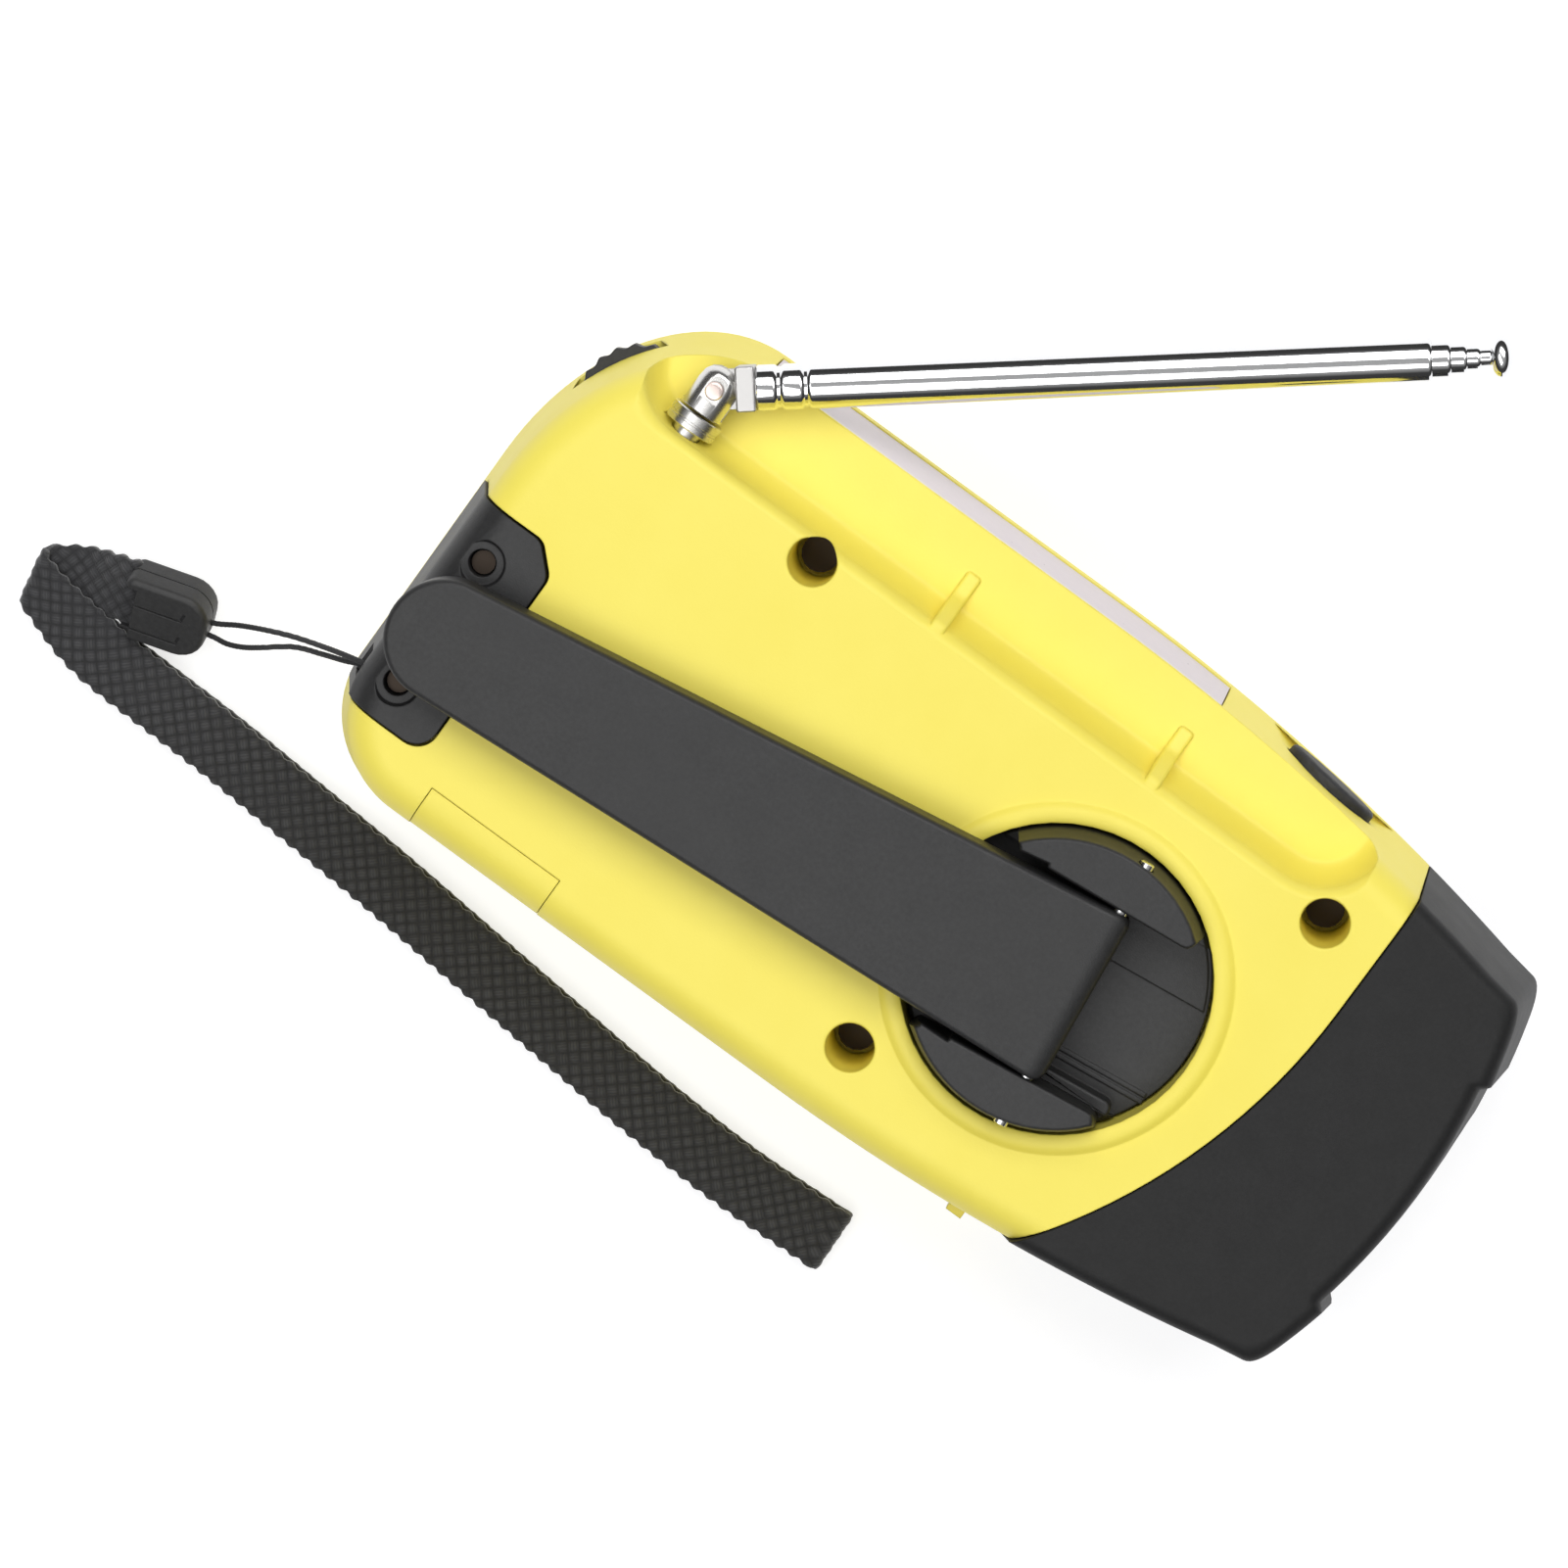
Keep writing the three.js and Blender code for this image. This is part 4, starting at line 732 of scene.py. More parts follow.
def well(x, y, radius, z0, flare=0.0):
    top = [
        (CASE_HEIGHT - flare, radius), (CASE_HEIGHT - 0.3 * flare, radius + 0.3 * flare),
        (CASE_HEIGHT, radius + flare)
    ] if flare else []
    return moved(turned("tool", [(z0, radius), *top, (FAR, radius + flare)], 48, "Z"), x, y)


def oval(half_long, half_high, profile, sides=56):
    """A shallow oval piece from points of distance out of the skin and what is added all round."""
    turns = [2 * math.pi * k / sides for k in range(sides)]
    return loft(
        "tool",
        [
            [((half_long + more) * math.sin(t), out, (half_high + more) * math.cos(t)) for t in turns]
            for out, more in profile
        ]
    )


BUTTON_X, BUTTON_Z, BUTTON_LONG, BUTTON_HIGH = 36.4, 27.5, 7.2, 4.2
BUTTON_SKIN = side_reach(BUTTON_X) - DRAFT * (BUTTON_Z - PARTING) / (PARTING - EDGE)
button_turn = Matrix.Translation((BUTTON_X, BUTTON_SKIN, BUTTON_Z)) @ Matrix.Rotation(
    -math.asin(BUTTON_X / FLANK_RADIUS), 4, "Z"
)


def at_button(piece):
    piece.data.transform(button_turn)
    return piece


window_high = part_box("reading_window")[1]
wheel_low, wheel_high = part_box("tuning_wheel")
WHEEL = (wheel_low + wheel_high) / 2 / MM
SLIDE_X, SLIDE_Z = HUB_X + 8.4, 26.3


def strip_zone(name, outer, inner, grow):
    """The band of the antenna side that the frosted strip fills."""
    band = combine(case_block(name, outer), [case_block("tool", inner)])
    return common(band, block(-56.1 - grow, 18.1 + grow, HALF_WIDTH - 12, FAR, 23.6 - grow, 34.5 + grow))


def shell_form(name):
    spigot = common(
        case_block("tool", BUMPER_WALL + FIT), block(-FAR, HALF_LENGTH - 5.7, -FAR, FAR, -FAR, FAR)
    )
    return combine(common(case_block(name, 0), strap_side(0)), [spigot], "UNION")


def shell_hollow(kept):
    hollow = common(case_block("tool", WALL), strap_side(-WALL - BUMPER_WALL))
    lamp_part = common(
        case_block("tool", BUMPER_WALL + FIT + WALL), block(-FAR, HALF_LENGTH - 7.7, -FAR, FAR, -FAR, FAR)
    )
    return combine(combine(hollow, [lamp_part], "UNION"), kept)


rear = common(shell_form("rear_shell"), block(-FAR, FAR, -FAR, FAR, PARTING, FAR))
bracket_keep = combine(bracket_zone(FIT + WALL), [case_block("tool", 4.6 + FIT + WALL)])
rear_hollow = shell_hollow([
    trough(WALL),
    well(HUB_X, HUB_Y, HUB_RADIUS + 2.4, RECESS_FLOOR - WALL),
    moved(bore(5.4, ROD_Y - 11, ROD_Y - 4, 40, "Y"), STUD_X, 0, ROD_Z),
    bracket_keep,
    *(well(x, y, 4.85, PARTING - 1) for x, y in CASE_SCREWS),
])
combine(rear, [rear_hollow])
rim = turned(
    "tool",
    [
        (41, 20.8), (41, 23.9), (43.9, 23.9), (44.12, 23.5), (44.5, 23.05), (44.74, 22.5), (44.8, 21.9),
        (44.72, 21.2), (44.45, 20.8)
    ],
    128, "Z"
)
combine(rear, [trough(0, lip=2.2), well(HUB_X, HUB_Y, HUB_RADIUS + 0.4, RECESS_FLOOR)])
combine(rear, [moved(rim, HUB_X, HUB_Y), *(rib(x) for x in (-18.4, 16.4))], "UNION")
combine(rear, [
    well(HUB_X, HUB_Y, HUB_RADIUS + 0.4, RECESS_FLOOR),
    well(HUB_X, HUB_Y, 3.4, 20),
    combine(bracket_zone(FIT), [case_block("tool", 4.6 + FIT)]),
    *(well(x, y, 1.2, PARTING) for x, y in BRACKET_SCREWS),
    *(well(x, y, 3.25, CASE_HEIGHT - 17, 0.45) for x, y in CASE_SCREWS),
    *(well(x, y, 1.7, 0) for x, y in CASE_SCREWS),
    moved(bore(2.2, ROD_Y - 20, ROD_Y, 40, "Y"), STUD_X, 0, ROD_Z),
    moved(bore(3.95, ROD_Y - 6.6, ROD_Y + 9, 48, "Y"), STUD_X, 0, ROD_Z),
    block(-56.3, 18.3, HALF_WIDTH - 12, FAR, 24.6, 32.6),
    strip_zone("tool", -0.5, WALL + 0.1, 0.15),
    at_button(oval(BUTTON_LONG, BUTTON_HIGH, [(-12, 0.3), (12, 0.3)])),
    at_button(oval(BUTTON_LONG, BUTTON_HIGH, [(-0.5, 0.4), (-0.35, 1.6), (0.5, 5.2)])),
    block(SLIDE_X - 3.6, SLIDE_X + 3.6, -FAR, -HALF_WIDTH + 7, SLIDE_Z - 1.9, SLIDE_Z + 1.9),
    block(-60.1, -39.1, -FAR, -HALF_WIDTH + 8.9, 23.9, FAR),
    moved(bore(9.5, WHEEL.z - 2.1, WHEEL.z + 2.1, 48, "Z"), WHEEL.x, WHEEL.y),
    lens_bore(LENS_BORE, HALF_LENGTH - 20, HALF_LENGTH),
])


def satin_yellow(name, edge):
    """Satin ABS: the colour drifts a little where the melt flowed, under a very fine spark texture."""
    finish = Finish(name)
    cloud = finish.noise(0.03, 3)
    flow = finish.noise(0.006, 4, rough=0.65)
    base = finish.blend(finish.within(cloud, 0.35, 0.65), (0.93, 0.80, 0.118), (0.95, 0.825, 0.135))
    finish.set("Base Color", finish.blend(0.25 * flow, base, (0.87, 0.72, 0.085)))
    finish.set("Roughness", 0.44 + 0.12 * flow)
    return finish.bump(finish.noise(0.0003, 3), 0.000018, 1.0, edge)


yellow = satin_yellow("yellow_case_plastic", 0.00035)
hand_over(rear, "case", "yellow_plastic", yellow, "rear_case")

# ---------------------------------------------------------------- front case half
# The same yellow moulding, turned to the table: solar cell bay, dial window, speaker slots,
# the volume knob's round bay and the band switch's slot.
front = common(shell_form("front_shell"), block(-FAR, FAR, -FAR, FAR, -FAR, PARTING - FIT))
KNOB, BAND, SPEAKER_X = (-62, -24), (-61.5, 24), -46
front_hollow = shell_hollow([
    *(moved(bore(3, -1, PARTING + 5, 32, "Z"), x, y) for x, y in CASE_SCREWS),
    block(7, 44, -27, 27, -1, 4.2),
    moved(bore(8.4, -1, 5.6, 48, "Z"), *KNOB),
    block(BAND[0] - 8, BAND[0] + 8, BAND[1] - 5, BAND[1] + 5, -1, 4.4),
])
combine(front, [front_hollow])
slots = []
for y in (-12, -8, -4, 0, 4, 8, 12):
    half = math.sqrt(15**2 - y**2)
    ends = [(-half, y - 0.8, 0.79), (half, y - 0.8, 0.79), (half, y + 0.8, 0.79), (-half, y + 0.8, 0.79)]
    slots.append(moved(slab("tool", rounded(ends), -1, WALL + 1), SPEAKER_X))
combine(front, [
    *(moved(bore(1.3, 6, FAR, 24, "Z"), x, y) for x, y in CASE_SCREWS),
    *slots,
    slab("tool", plate(9, 42, -25, 25, 1), -1, 2.2),
    slab("tool", plate(-22, -12, -21, 21, 1), -1, 4),
    moved(turned("tool", [(-1, 6.9), (0, 6.9), (0.4, 6.5), (3.6, 6.5)], 64, "Z"), *KNOB),
    moved(bore(1.5, -1, 8, 32, "Z"), *KNOB),
    moved(slab("tool", plate(-6, 6, -2.6, 2.6, 0.8), -1, 2.6), *BAND),
    block(BAND[0] - 4.2, BAND[0] + 4.2, BAND[1] - 0.9, BAND[1] + 0.9, -1, 6),
    lens_bore(LENS_BORE, HALF_LENGTH - 20, HALF_LENGTH),
])
hand_over(front, "case", "yellow_plastic", yellow, "front_case")

# ---------------------------------------------------------------- end bumper and lamp
# A soft black rubber-painted cap is pushed over both case halves at the lamp end. Its two corner
# lugs stand proud, and its round opening holds the lens of the torch.
bumper = case_block("lamp_bumper", 0, lug=1.3, edge=2.4)
bumper_hollow = common(
    case_block("tool", BUMPER_WALL), block(-FAR, HALF_LENGTH - 5.4, -FAR, FAR, -FAR, FAR)
)
combine(bumper, [
    strap_side(0.22),
    bumper_hollow,
    lens_bore(LENS_BORE, HALF_LENGTH - 12, HALF_LENGTH - 3.1),
    moved(
        turned(
            "tool",
            [
                (HALF_LENGTH - 12, 12.2), (HALF_LENGTH - 1.1, 12.2), (HALF_LENGTH + 0.2, 13.1),
                (HALF_LENGTH + 9, 13.6)
            ],
            96
        ),
        z=PARTING
    ),
])
rubber = fine_black("soft_black_paint", 0.0075, 0.6, grain=0.00035, depth=0.00002, edge=0.00045)
rubber.skin.inputs["Specular IOR Level"].default_value = 0.38
hand_over(bumper, "case", "soft_black", rubber, "end_bumper")

CHROME_GREY = (0.86, 0.865, 0.875)


def bright_metal(name, grey, rough, scratch=0.6):
    finish = Finish(name, Metallic=1.0)
    fine = finish.noise(0.0008, 4, rough=0.7)
    finish.set("Base Color", finish.blend(fine, grey, tuple(c * 0.93 for c in grey)))
    finish.set("Roughness", rough + 0.06 * finish.noise(0.003, 3))
    return finish.bump(finish.noise(0.002, 2), 0.000006, scratch)


chrome = bright_metal("bright_chrome", CHROME_GREY, 0.05)
mirror_low, mirror_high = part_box("lamp_reflector")
front_x, back_x = mirror_high.x / MM, mirror_low.x / MM
bowl = [(back_x + 17 * s * s, 3.6 + 9.4 * s) for s in (k / 14 for k in range(15))]
dish = turned("lamp_mirror", [(back_x - 0.2, 3.4), *bowl[1:], (front_x, 13)], 72)
combine(
    dish,
    [
        turned(
            "tool",
            [
                (back_x - 2, 2.6), (back_x + 0.7, 3.0), *((x + 0.7, r - 0.75) for x, r in bowl[1:]),
                (front_x + 3, 12.4)
            ],
            72
        )
    ]
)
hand_over(moved(dish, z=PARTING), "case", "chrome", chrome, "lamp_reflector")

lens_finish = Finish("clear_lens", Base_Color=(0.97, 0.98, 0.99), IOR=1.49)
lens_finish.skin.inputs["Transmission Weight"].default_value = 1.0
lens_finish.set("Roughness", 0.03 + 0.08 * lens_finish.noise(0.004, 3))
lens_finish.bump(lens_finish.noise(0.003, 2), 0.00001, 0.4)
lens_low, lens_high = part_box("lamp_lens")
lens = turned(
    "torch_lens",
    [
        (lens_low.x / MM, 12.7), (lens_low.x / MM + 0.1, 12.9), (lens_high.x / MM - 0.15, 12.9),
        (lens_high.x / MM, 12.7)
    ],
    72
)
hand_over(moved(lens, z=PARTING), "case", "clear_plastic", lens_finish, "lamp_lens")

# ---------------------------------------------------------------- strap bracket
# A black moulded block screwed into a pocket of the strap end with two sunk screws. The cord
# goes in by a port in its outer corner and round a thin bar inside.
bracket = common(case_block("cord_bracket", -0.4, edge=EDGE), bracket_zone(0))
combine(bracket, [case_block("tool", 4.6), block(-HALF_LENGTH - 9, -74.1, -26.4, -22.2, 33, 39)])
change(
    bracket, "BEVEL", width=0.5, segments=3, limit_method="ANGLE", angle_limit=math.radians(50),
    use_clamp_overlap=True
)
for x, y in BRACKET_SCREWS:
    combine(bracket, [
        moved(
            turned(
                "tool",
                [
                    (CASE_HEIGHT - 0.45, 2.9), (CASE_HEIGHT - 0.2, 2.95), (CASE_HEIGHT + 0.1, 3.2),
                    (FAR, 3.2)
                ],
                48, "Z"
            ),
            x, y
        ),
        moved(
            turned(
                "tool",
                [
                    (CASE_HEIGHT - 3.4, 1.8), (CASE_HEIGHT - 0.6, 1.8), (CASE_HEIGHT - 0.3, 2.0),
                    (FAR, 2.0)
                ],
                48, "Z"
            ),
            x, y
        ),
        moved(bore(1.2, 20, FAR, 24, "Z"), x, y),
    ])
bar = bore(0.8, -26.8, -21.8, 24, "Y")
combine(bracket, [moved(bar, -76.4, 0, 36)], "UNION")
black = fine_black("black_moulded_plastic", 0.015, 0.5, edge=0.0003)
hand_over(bracket, "case", "black_plastic", black, "strap_bracket")

# ---------------------------------------------------------------- crank hub
# A black drum sunk in the recess. Two D-shaped cheeks rise from its floor and carry the hinge pin,
# whose bright ends show at their outer walls. The floor between them has low moulded steps.
crank_turn = Matrix.Translation((HUB_X, HUB_Y, 0)) @ Matrix.Rotation(math.radians(6.6), 4, "Z")
HUB_FLOOR, CHEEK_TOP, CHEEK_INNER = 38.6, 49.6, 12.9
HINGE_X, HINGE_Z = 2.8, 48.1
hub = turned(
    "crank_drum",
    [
        (RECESS_FLOOR + 0.6, HUB_RADIUS), (HUB_FLOOR + 1.1, HUB_RADIUS),
        (HUB_FLOOR + 1.6, HUB_RADIUS - 0.5)
    ],
    128, "Z"
)
floor_step = slab(
    "tool", [(-FAR, -CHEEK_INNER), (FAR, -CHEEK_INNER), (FAR, CHEEK_INNER), (-FAR, CHEEK_INNER)],
    HUB_FLOOR, FAR
)
raised = slab("tool", plate(3, 25, 5.0, 12.95, 0.3), HUB_FLOOR - 1, HUB_FLOOR + 0.5, 0, 0.25)
strips = [
    slab("tool", plate(4.5, 18.2, y, y + 0.7, 0.15), HUB_FLOOR - 1, HUB_FLOOR + 0.2, 0, 0.15)
    for y in (-9.9, -8.9)
]
hook = slab(
    "tool", rounded([(0, -13.3, 0.2), (14.9, -13.3, 0.4), (14.9, -11.2, 1.2), (0, -11.2, 0.2)]),
     HUB_FLOOR - 1,  HUB_FLOOR + 3.4, 0, 0.5
)
combine(hub, [floor_step])
combine(
    hub,
    [
        common(raised, bore(HUB_RADIUS - 0.5, 30, 50, 96, "Z")), *strips,
        common(hook, bore(HUB_RADIUS - 0.3, 30, 50, 96, "Z"))
    ],
    "UNION"
)


def cheek_lean(x, y, z):
    """The cheeks' round outer walls lean in towards the top."""
    reach = math.hypot(x, y)
    share = 1 - 0.045 * ease(z, CHEEK_TOP - 5.4, CHEEK_TOP) * ease(reach, 15.5, 19.5)
    return (x * share, y * share, z)


def cheek(sign):
    start, end = math.atan2(15.0, 13.6), math.atan2(15.0, -13.6)
    bow = arc(0, 0, HUB_RADIUS - 0.05, HUB_RADIUS - 0.05, start + 0.06, end - 0.06, 40)
    foot = [
        (-13.5, 14.2), (-13.2, 13.75), (-8.6, 13.5), (-8.4, 13.0), (-8.0, CHEEK_INNER),
        (12.3, CHEEK_INNER), (13.2, 13.15), (13.9, 13.9), (14.1, 14.6)
    ]
    points = [*foot, *bow, (-14.0, 14.8)]
    if sign < 0:
        points = [(x, -y) for x, y in reversed(points)]
    return slab(
        "tool", points,  HUB_FLOOR - 2, CHEEK_TOP, 0, 0.55, 4, cheek_lean, (44.2, 45.2, 46.3, 47.4, 48.3)
    )


combine(hub, [cheek(1), cheek(-1)], "UNION")
combine(hub, [moved(bore(1.15, -FAR, FAR, 32, "Y"), HINGE_X, 0, HINGE_Z)])
shaft = bore(3, 24.4, 34, 48, "Z")
combine(hub, [shaft], "UNION")
hub.data.transform(crank_turn)
hub_black = fine_black("crank_plastic", 0.015, 0.48, edge=0.0003)
hand_over(hub, "crank", "black_plastic", hub_black, "crank_hub")
pin = turned("hinge_pin_rod", [(-20.0, 0.7), (-19.8, 1.0), (19.8, 1.0), (20.0, 0.7)], 32, "Y")
moved(pin, HINGE_X, 0, HINGE_Z).data.transform(crank_turn)
pin_steel = bright_metal("pin_steel", (0.75, 0.75, 0.76), 0.16)
hand_over(pin, "crank", "steel", pin_steel, "hinge_pin")

# ---------------------------------------------------------------- crank arm and folding grip
# A thick black moulded lever, wide at the hinge and round at the far end. Its back is hollowed for
# the grip, a sleeve that turns on a steel post folded into the arm.
ARM_LOW, ARM_TOP, ARM_TAIL, ARM_TIP = 45.2, 51.0, 4.8, -99.96
tip_middle = ARM_TIP + 8.2
tip_arc = arc(tip_middle, 0, 8.2, 8.2, math.pi / 2, 1.5 * math.pi, 32)
square = rounded(
    [(ARM_TAIL, -12.45, 1.5), (ARM_TAIL, 12.45, 1.5), tip_arc[0] + (0.01,), tip_arc[-1] + (0.01,)], 6
)[:14]
arm_outline = [*square, *tip_arc]


def arm_shape(x, y, z):
    """The square end rolls over in a wider, softer curve than the long edges."""
    rise = min(max((z - ARM_TOP + 2.4) / 2.4, 0), 1)
    return (x - 1.9 * (1 - math.sqrt(1 - rise * rise)) * ease(x, ARM_TAIL - 3.4, ARM_TAIL - 0.8), y, z)


lever = slab(
    "crank_lever", arm_outline, ARM_LOW, ARM_TOP, 0.5, 0.9, 6, arm_shape, (48.4, 49.0, 49.5, 49.9)
)
GRIP_X, GRIP_Z = -92.36, 47.7
grip_hollow = slab("tool", plate(GRIP_X - 2.3, GRIP_X + 26.7, -2.8, 2.8, 1.2), ARM_LOW - 1, GRIP_Z + 2.55)
combine(lever, [
    grip_hollow,
    moved(bore(1.05, -5, 5, 32, "Y"), GRIP_X, 0, GRIP_Z),
    moved(bore(1.15, -FAR, FAR, 32, "Y"), HINGE_X, 0, HINGE_Z),
])
lever.data.transform(crank_turn)
arm_black = fine_black("lever_plastic", 0.0155, 0.5, edge=0.0003)
hand_over(lever, "crank_arm", "black_plastic", arm_black, "crank_arm")

sleeve_start, sleeve_end = GRIP_X + 2.8, GRIP_X + 23.5
ridges = []
for k in range(25):
    along = sleeve_start + 0.8 + (sleeve_end - sleeve_start - 1.6) * k / 24
    ridges.append((along, 2.3 - (0.14 if k % 2 else 0)))
sleeve = turned(
    "grip_roller",
    [
        (sleeve_start, 1.5), (sleeve_start, 1.9), (sleeve_start + 0.4, 2.25), *ridges,
        (sleeve_end - 0.4, 2.25), (sleeve_end, 1.9), (sleeve_end, 1.5)
    ],
    40
)
combine(sleeve, [bore(1.4, -FAR, FAR, 32)])
moved(sleeve, z=GRIP_Z).data.transform(crank_turn)
hand_over(sleeve, "grip_sleeve", "black_plastic", arm_black, "grip_sleeve")

# ---------------------------------------------------------------- telescopic antenna
# A nickelled brass fork turns on a stud in the case, and a squared tang pivots in the fork.
# Four chromed tubes slide out of each other behind the tang, the last on the tip's button.
satin_nickel = bright_metal("satin_nickel", (0.56, 0.55, 0.54), 0.36, 1.0)
brushed_nickel = bright_metal("brushed_nickel", (0.74, 0.73, 0.71), 0.24, 1.0)
pivot_bronze = bright_metal("pivot_rivet", (0.72, 0.60, 0.55), 0.25)


def at_stud(piece):
    piece.data.transform(Matrix.Translation((STUD_X, 0, ROD_Z)))
    return piece


stud = turned(
    "antenna_post",
    [
        (16, 1.8), (16.2, 2), (26.7, 2), (26.7, 3.5), (26.85, 3.65), (27.5, 3.65), (27.6, 3.5),
        (27.85, 3.5), (27.95, 3.65), (28.95, 3.65), (29.1, 3.5)
    ],
    64, "Y"
)
hand_over(at_stud(stud), "case", "chrome", brushed_nickel, "antenna_stud")

fork = turned(
    "antenna_fork",
    [(29.4, 3.0), (29.55, 3.15), (33.4, 3.15), (34.6, 3.0), (35.4, 2.55), (35.95, 1.8), (36.15, 0.9)], 64,
    "Y"
)
combine(fork, [block(-9, 9, 31.4, 45, -9, -2.85), block(-9, 9, 31.4, 45, 2.85, 9)])
combine(
    fork, [block(-9, 9, ROD_Y - 3.1, ROD_Y + 9, -1.15, 1.15), moved(bore(1.05, -9, 9, 32, "Z"), 0, ROD_Y)]
)
change(at_stud(fork), "BEVEL", width=0.12, segments=2, limit_method="ANGLE", angle_limit=math.radians(40))
hand_over(fork, "antenna_swivel", "chrome", brushed_nickel, "antenna_clevis")

rivet = turned(
    "fork_rivet",
    [
        (ROD_Z - 3.0, 0.9), (ROD_Z + 3.1, 0.9), (ROD_Z + 3.1, 1.15), (ROD_Z + 3.3, 1.25),
        (ROD_Z + 3.5, 1.1), (ROD_Z + 3.62, 0.6)
    ],
    40, "Z"
)
hand_over(moved(rivet, STUD_X, ROD_Y), "antenna_swivel", "steel", pivot_bronze, "antenna_pivot")

rod_turn = Matrix.Translation((STUD_X, ROD_Y, ROD_Z)) @ Matrix.Rotation(math.radians(38.4), 4, "Z")


def on_rod(piece):
    piece.data.transform(rod_turn)
    return piece


tang = slab(
    "antenna_tang_block",
    rounded([(-2.69, -2.7, 2.6), (3.0, -2.7, 0.1), (3.0, 2.7, 0.1), (-2.69, 2.7, 2.6)], 14), -1, 1, 0.15,
    0.15
)
square_block = slab(
    "tool", rounded([(2.7, -3.05, 0.4), (5.33, -3.05, 0.35), (5.33, 3.05, 0.35), (2.7, 3.05, 0.4)]),
    -2.85, 2.85, 0.35, 0.35
)
combine(tang, [square_block, bore(2.55, 4.5, 10.0, 48)], "UNION")
combine(tang, [bore(1.05, -9, 9, 32, "Z")])
hand_over(on_rod(tang), "antenna_rod", "chrome", satin_nickel, "antenna_tang")

TUBES = [(5.45, 93.9, 3.05), (10.55, 96.4, 2.58), (10.95, 98.5, 2.11), (11.35, 100.3, 1.64)]
for number, (start, end, radius) in enumerate(TUBES, 1):
    crimps = []
    if number == 1:
        for middle in (8.4, 12.0):
            crimps += [
                (middle - 0.75, radius), (middle - 0.45, radius - 0.12), (middle - 0.2, radius - 0.32),
                (middle + 0.2, radius - 0.32), (middle + 0.45, radius - 0.12), (middle + 0.75, radius)
            ]
    outer = [
        (start, radius - 0.12), (start + 0.15, radius), *crimps, (end - 0.5, radius),
        (end - 0.2, radius - 0.05), (end - 0.05, radius - 0.16), (end, radius - 0.28)
    ]
    tube = turned(f"antenna_section_{number}", outer, 72)
    combine(tube, [bore(radius - 0.34, start - 3, end + 3, 64)])
    body = "antenna_rod" if number == 1 else f"antenna_tube_{number}"
    hand_over(on_rod(tube), body, "chrome", chrome, f"antenna_tube_{number}", sharp=30)
button_start = 101.5
tip = turned("antenna_button", [
    (12.05, 0.9), (12.2, 1.22), (button_start, 1.22), (
        button_start + 0.15, 2.0
    ), (button_start + 0.4, 2.45), (button_start + 0.9, 2.85),
    (button_start + 1.4, 3.0), (button_start + 1.9, 2.92), (
        button_start + 2.4, 2.55
    ), (button_start + 2.8, 1.9), (button_start + 3.1, 1.1), (button_start + 3.2, 0.4),
], 64)
hand_over(on_rod(tip), "antenna_tip", "chrome", chrome, "antenna_tip")

# ---------------------------------------------------------------- fittings of the two long sides
# A frosted strip lies over the reading lights, and a black oval button works the alarm. The other
# side has a flap over the sockets. A ribbed black wheel tunes from the strap end.
frosted = Finish("frosted_window", IOR=1.49)
frost = frosted.noise(0.0012, 4, rough=0.6)
height = frosted.along("Z")
border = frosted.within(height, window_high.z + 0.0005, window_high.z + 0.0012)
pale = frosted.blend(frost, (0.63, 0.555, 0.59), (0.72, 0.65, 0.68))
frosted.set("Base Color", frosted.blend(border * 0.5, pale, (0.82, 0.79, 0.78)))
frosted.set("Roughness", 0.22 + 0.2 * frost)
frosted.bump(frost, 0.00002, 0.8)
window = strip_zone("reading_strip", 0.15, WALL, 0)
hand_over(window, "case", "clear_plastic", frosted, "reading_window")

button = oval(
    BUTTON_LONG, BUTTON_HIGH,
    [(-4.4, 0.7), (-3.3, 0.7), (-3.3, 0), (0.2, 0), (0.45, -0.08), (0.7, -0.3), (0.84, -0.7), (0.9, -1.3)]
)
button.name = "alarm_oval_button"
pebbled = Finish("pebbled_button")
pebble = pebbled.noise(0.0011, 3, rough=0.6)
# The colour follows the pebbling's relief: painted shade darkens the pits, and the tops are painted paler.
pebbled.set("Base Color", pebbled.blend(pebble, (0.013, 0.013, 0.014), (0.028, 0.028, 0.03)))
pebbled.set("Roughness", 0.5 + 0.15 * pebble)
pebbled.bump(pebble, 0.00025, 0.9)
hand_over(at_button(button), "alarm_button", "black_plastic", pebbled, "alarm_button")

flap = combine(case_block("socket_flap", 0.1), [case_block("tool", WALL)])
common(flap, block(-60.0, -39.2, -FAR, -HALF_WIDTH + 8.8, 24.0, FAR))
hand_over(flap, "port_cover", "yellow_plastic", yellow, "port_cover")

teeth = []
for k in range(176):
    angle = 2 * math.pi * k / 176
    reach = 9 - 0.45 * (0.5 - 0.5 * math.cos(22 * angle)) ** 0.7
    teeth.append((reach * math.cos(angle), reach * math.sin(angle)))
wheel = slab("tuning_thumbwheel", teeth, -1.6, 1.6, 0.3, 0.3, 2)
moved(wheel, WHEEL.x, WHEEL.y, 26.6)
hand_over(wheel, "tuning_wheel", "black_plastic", black, "tuning_wheel")

# ---------------------------------------------------------------- what shows its own modelled shape
# Screws, sockets, boards, gears, cell, coil and the small switches stay as they were cut or moulded.
# Each has its own finish: plated steel, green board with copper tracks, wound copper, printed sleeve.
screw_steel = bright_metal("screw_steel", (0.045, 0.035, 0.028), 0.42)


def plain(name, cloud, low, high, rough, drift, grain, depth):
    """A finish with a faint cloud between two tones; cloud and grain are size and detail of their noise."""
    finish = Finish(name)
    finish.set("Base Color", finish.blend(finish.noise(*cloud), low, high))
    finish.set("Roughness", rough + drift * finish.noise(0.002))
    return finish.bump(finish.noise(*grain), depth)


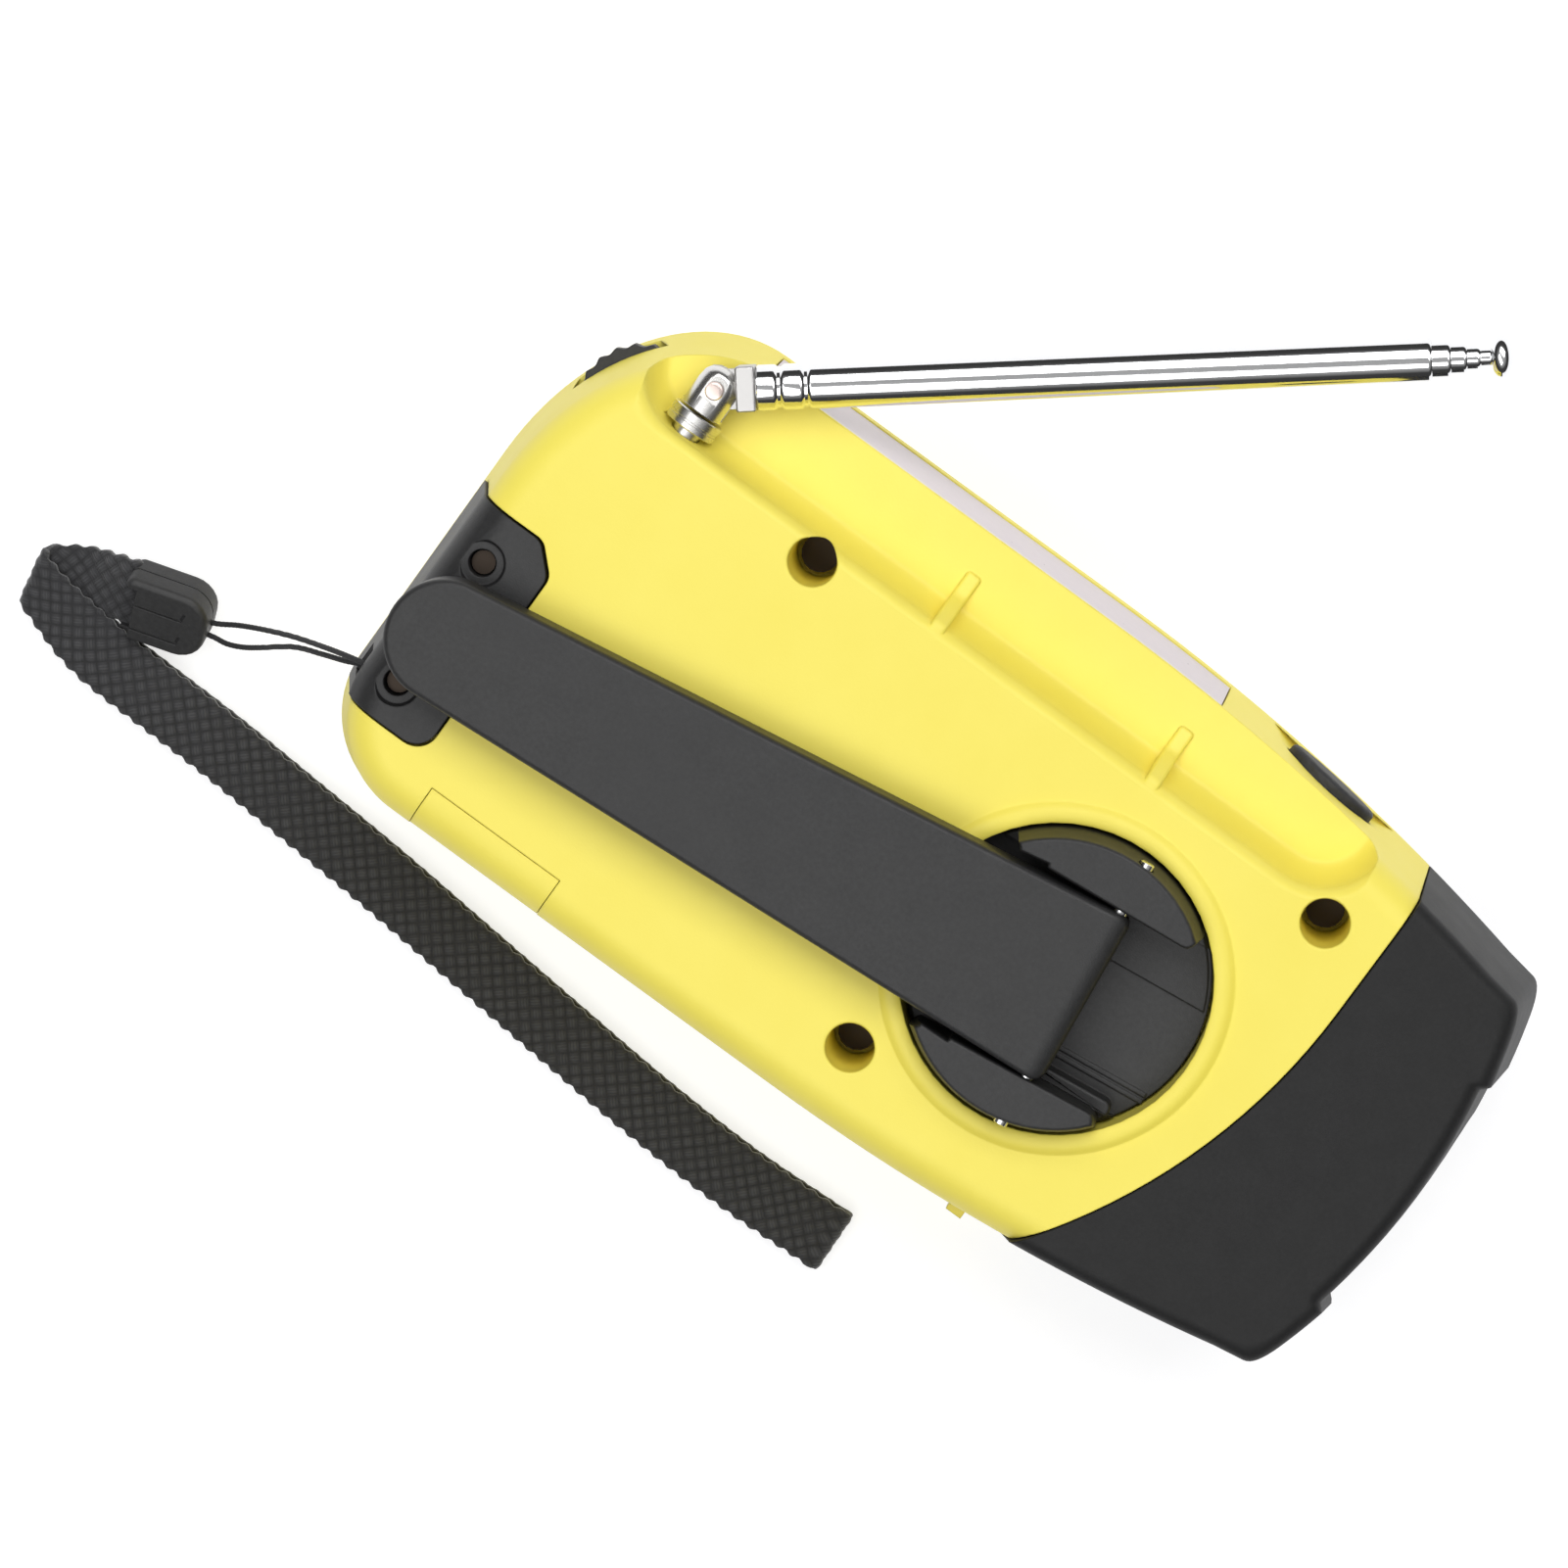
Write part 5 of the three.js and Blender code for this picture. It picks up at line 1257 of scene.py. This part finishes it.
plated = bright_metal("plated_steel", (0.58, 0.585, 0.6), 0.3)
board = Finish("green_board", Roughness=0.45)
grid = board.places()
tracks = board.node(
    "TexBrick", {"offset": 0.3},
    {
        "Vector": grid, "Scale": 260.0, "Mortar Size": 0.05, "Color1": (0.02, 0.11, 0.045),
        "Color2": (0.028, 0.14, 0.06), "Mortar": (0.09, 0.22, 0.08)
    }
)
board.set("Base Color", board.blend(board.noise(0.002, 3) * 0.5, tracks, (0.015, 0.08, 0.03)))
board.bump(board.noise(0.0008, 2), 0.00002)
gear_plastic = plain(
    "white_gear_plastic", (0.004, 3), (
        0.76, 0.74, 0.68
    ), (0.83, 0.81, 0.76), 0.4, 0.15, (0.0004,), 0.00001
)
sleeve_blue = Finish("cell_sleeve")
band = sleeve_blue.along("Y")
stripe = sleeve_blue.within(band, 0.019, 0.0195) * (1 - sleeve_blue.within(band, 0.024, 0.0245))
sleeve_blue.set(
    "Base Color",
    sleeve_blue.blend(
        stripe, sleeve_blue.blend(sleeve_blue.noise(0.01), (0.025, 0.11, 0.38), (0.035, 0.14, 0.44)),
        (0.75, 0.77, 0.8)
    )
)
sleeve_blue.set("Roughness", 0.3 + 0.1 * sleeve_blue.noise(0.005)).bump(sleeve_blue.noise(0.003), 0.00002)
cell_glass = Finish("solar_cells")
across = cell_glass.along("Y")
lengthwise = cell_glass.along("X")
fine_lines = cell_glass.within(cell_glass.wave(across * (math.pi / 0.0025)), 0.0, 0.16)
wide_lines = cell_glass.within(cell_glass.wave(lengthwise * (math.pi / 0.0108)), 0.0, 0.05)
silicon = cell_glass.blend(cell_glass.noise(0.004, 3), (0.006, 0.009, 0.035), (0.012, 0.018, 0.07))
cell_glass.set("Base Color", cell_glass.blend(fine_lines * wide_lines, (0.35, 0.36, 0.38), silicon))
cell_glass.set("Roughness", 0.12 + 0.1 * cell_glass.noise(0.01)).set("Coat Weight", 0.6)
cell_glass.bump(cell_glass.noise(0.004), 0.00001, 0.4)
ferrite = plain(
    "ferrite", (0.001, 4), (0.03, 0.028, 0.028), (0.055, 0.05, 0.05), 0.6, 0.15, (0.0005, 3), 0.00004
)
winding = Finish("wound_copper", Metallic=1.0)
turns_x = winding.along("X")
wire = winding.wave(turns_x * (math.pi / 0.0004))
# Painted shade: the copper is painted dark in the grooves between the wire's turns and bright on their
# crests, following the turns' bump.
winding.set(
    "Base Color", winding.blend(wire, (0.22, 0.07, 0.02), (0.72, 0.30, 0.13))
).set("Roughness", 0.25 + 0.15 * winding.noise(0.002))
winding.bump(wire, 0.0001)
marker = plain(
    "red_pointer", (0.001,), (0.55, 0.03, 0.015), (0.65, 0.05, 0.025), 0.35, 0.1, (0.0005,), 0.00001
)
pane = Finish("dial_pane", Roughness=0.1, IOR=1.49)
marks_y = pane.along("Y")
marks_x = pane.along("X")
scale_lines = (
    1 - pane.within(pane.wave(marks_y * (math.pi / 0.0036)), 0.06, 0.12)
) * pane.within(marks_x, -0.0145, -0.0144)
pane.set("Base Color", pane.blend(scale_lines, (0.82, 0.83, 0.84), (0.9, 0.9, 0.9)))
pane.skin.inputs["Transmission Weight"].default_value = 0.9
pane.set(
    "Roughness",  0.05 + 0.3 * scale_lines + 0.05 * pane.noise(0.01)
).bump(pane.noise(0.006), 0.00001, 0.4)
milky = plain(
    "milky_plastic", (0.003,), (0.6, 0.58, 0.52), (0.7, 0.68, 0.62), 0.3, 0.1, (0.001,), 0.00001
)

FINISHES = {
    screw_steel: ["case_screw_1", "case_screw_2", "case_screw_3", "bracket_screw_1", "bracket_screw_2"],
    plated: [
        "grip_post", "gear_axle_1", "gear_axle_2", "generator_rotor", "generator_body", "gear_plate",
        "usb_socket", "micro_socket", "lamp_slide_switch"
    ],
    board: ["reading_led_board", "port_board", "main_board", "lamp_led_board"],
    gear_plastic: ["drive_gear", "train_gear_1", "train_gear_2"],
    sleeve_blue: ["battery_cell"],
    cell_glass: ["solar_panel"],
    ferrite: ["ferrite_rod"],
    winding: ["ferrite_coil"],
    marker: ["dial_pointer"],
    pane: ["dial_window"],
    milky: ["tuning_capacitor"],
    yellow: ["lamp_slide"],
    black: ["alarm_switch", "speaker", "volume_knob", "band_slide"],
}
for finish, names in FINISHES.items():
    for name in names:
        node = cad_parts[name]
        for slot in node.material_slots:
            slot.material = finish.material
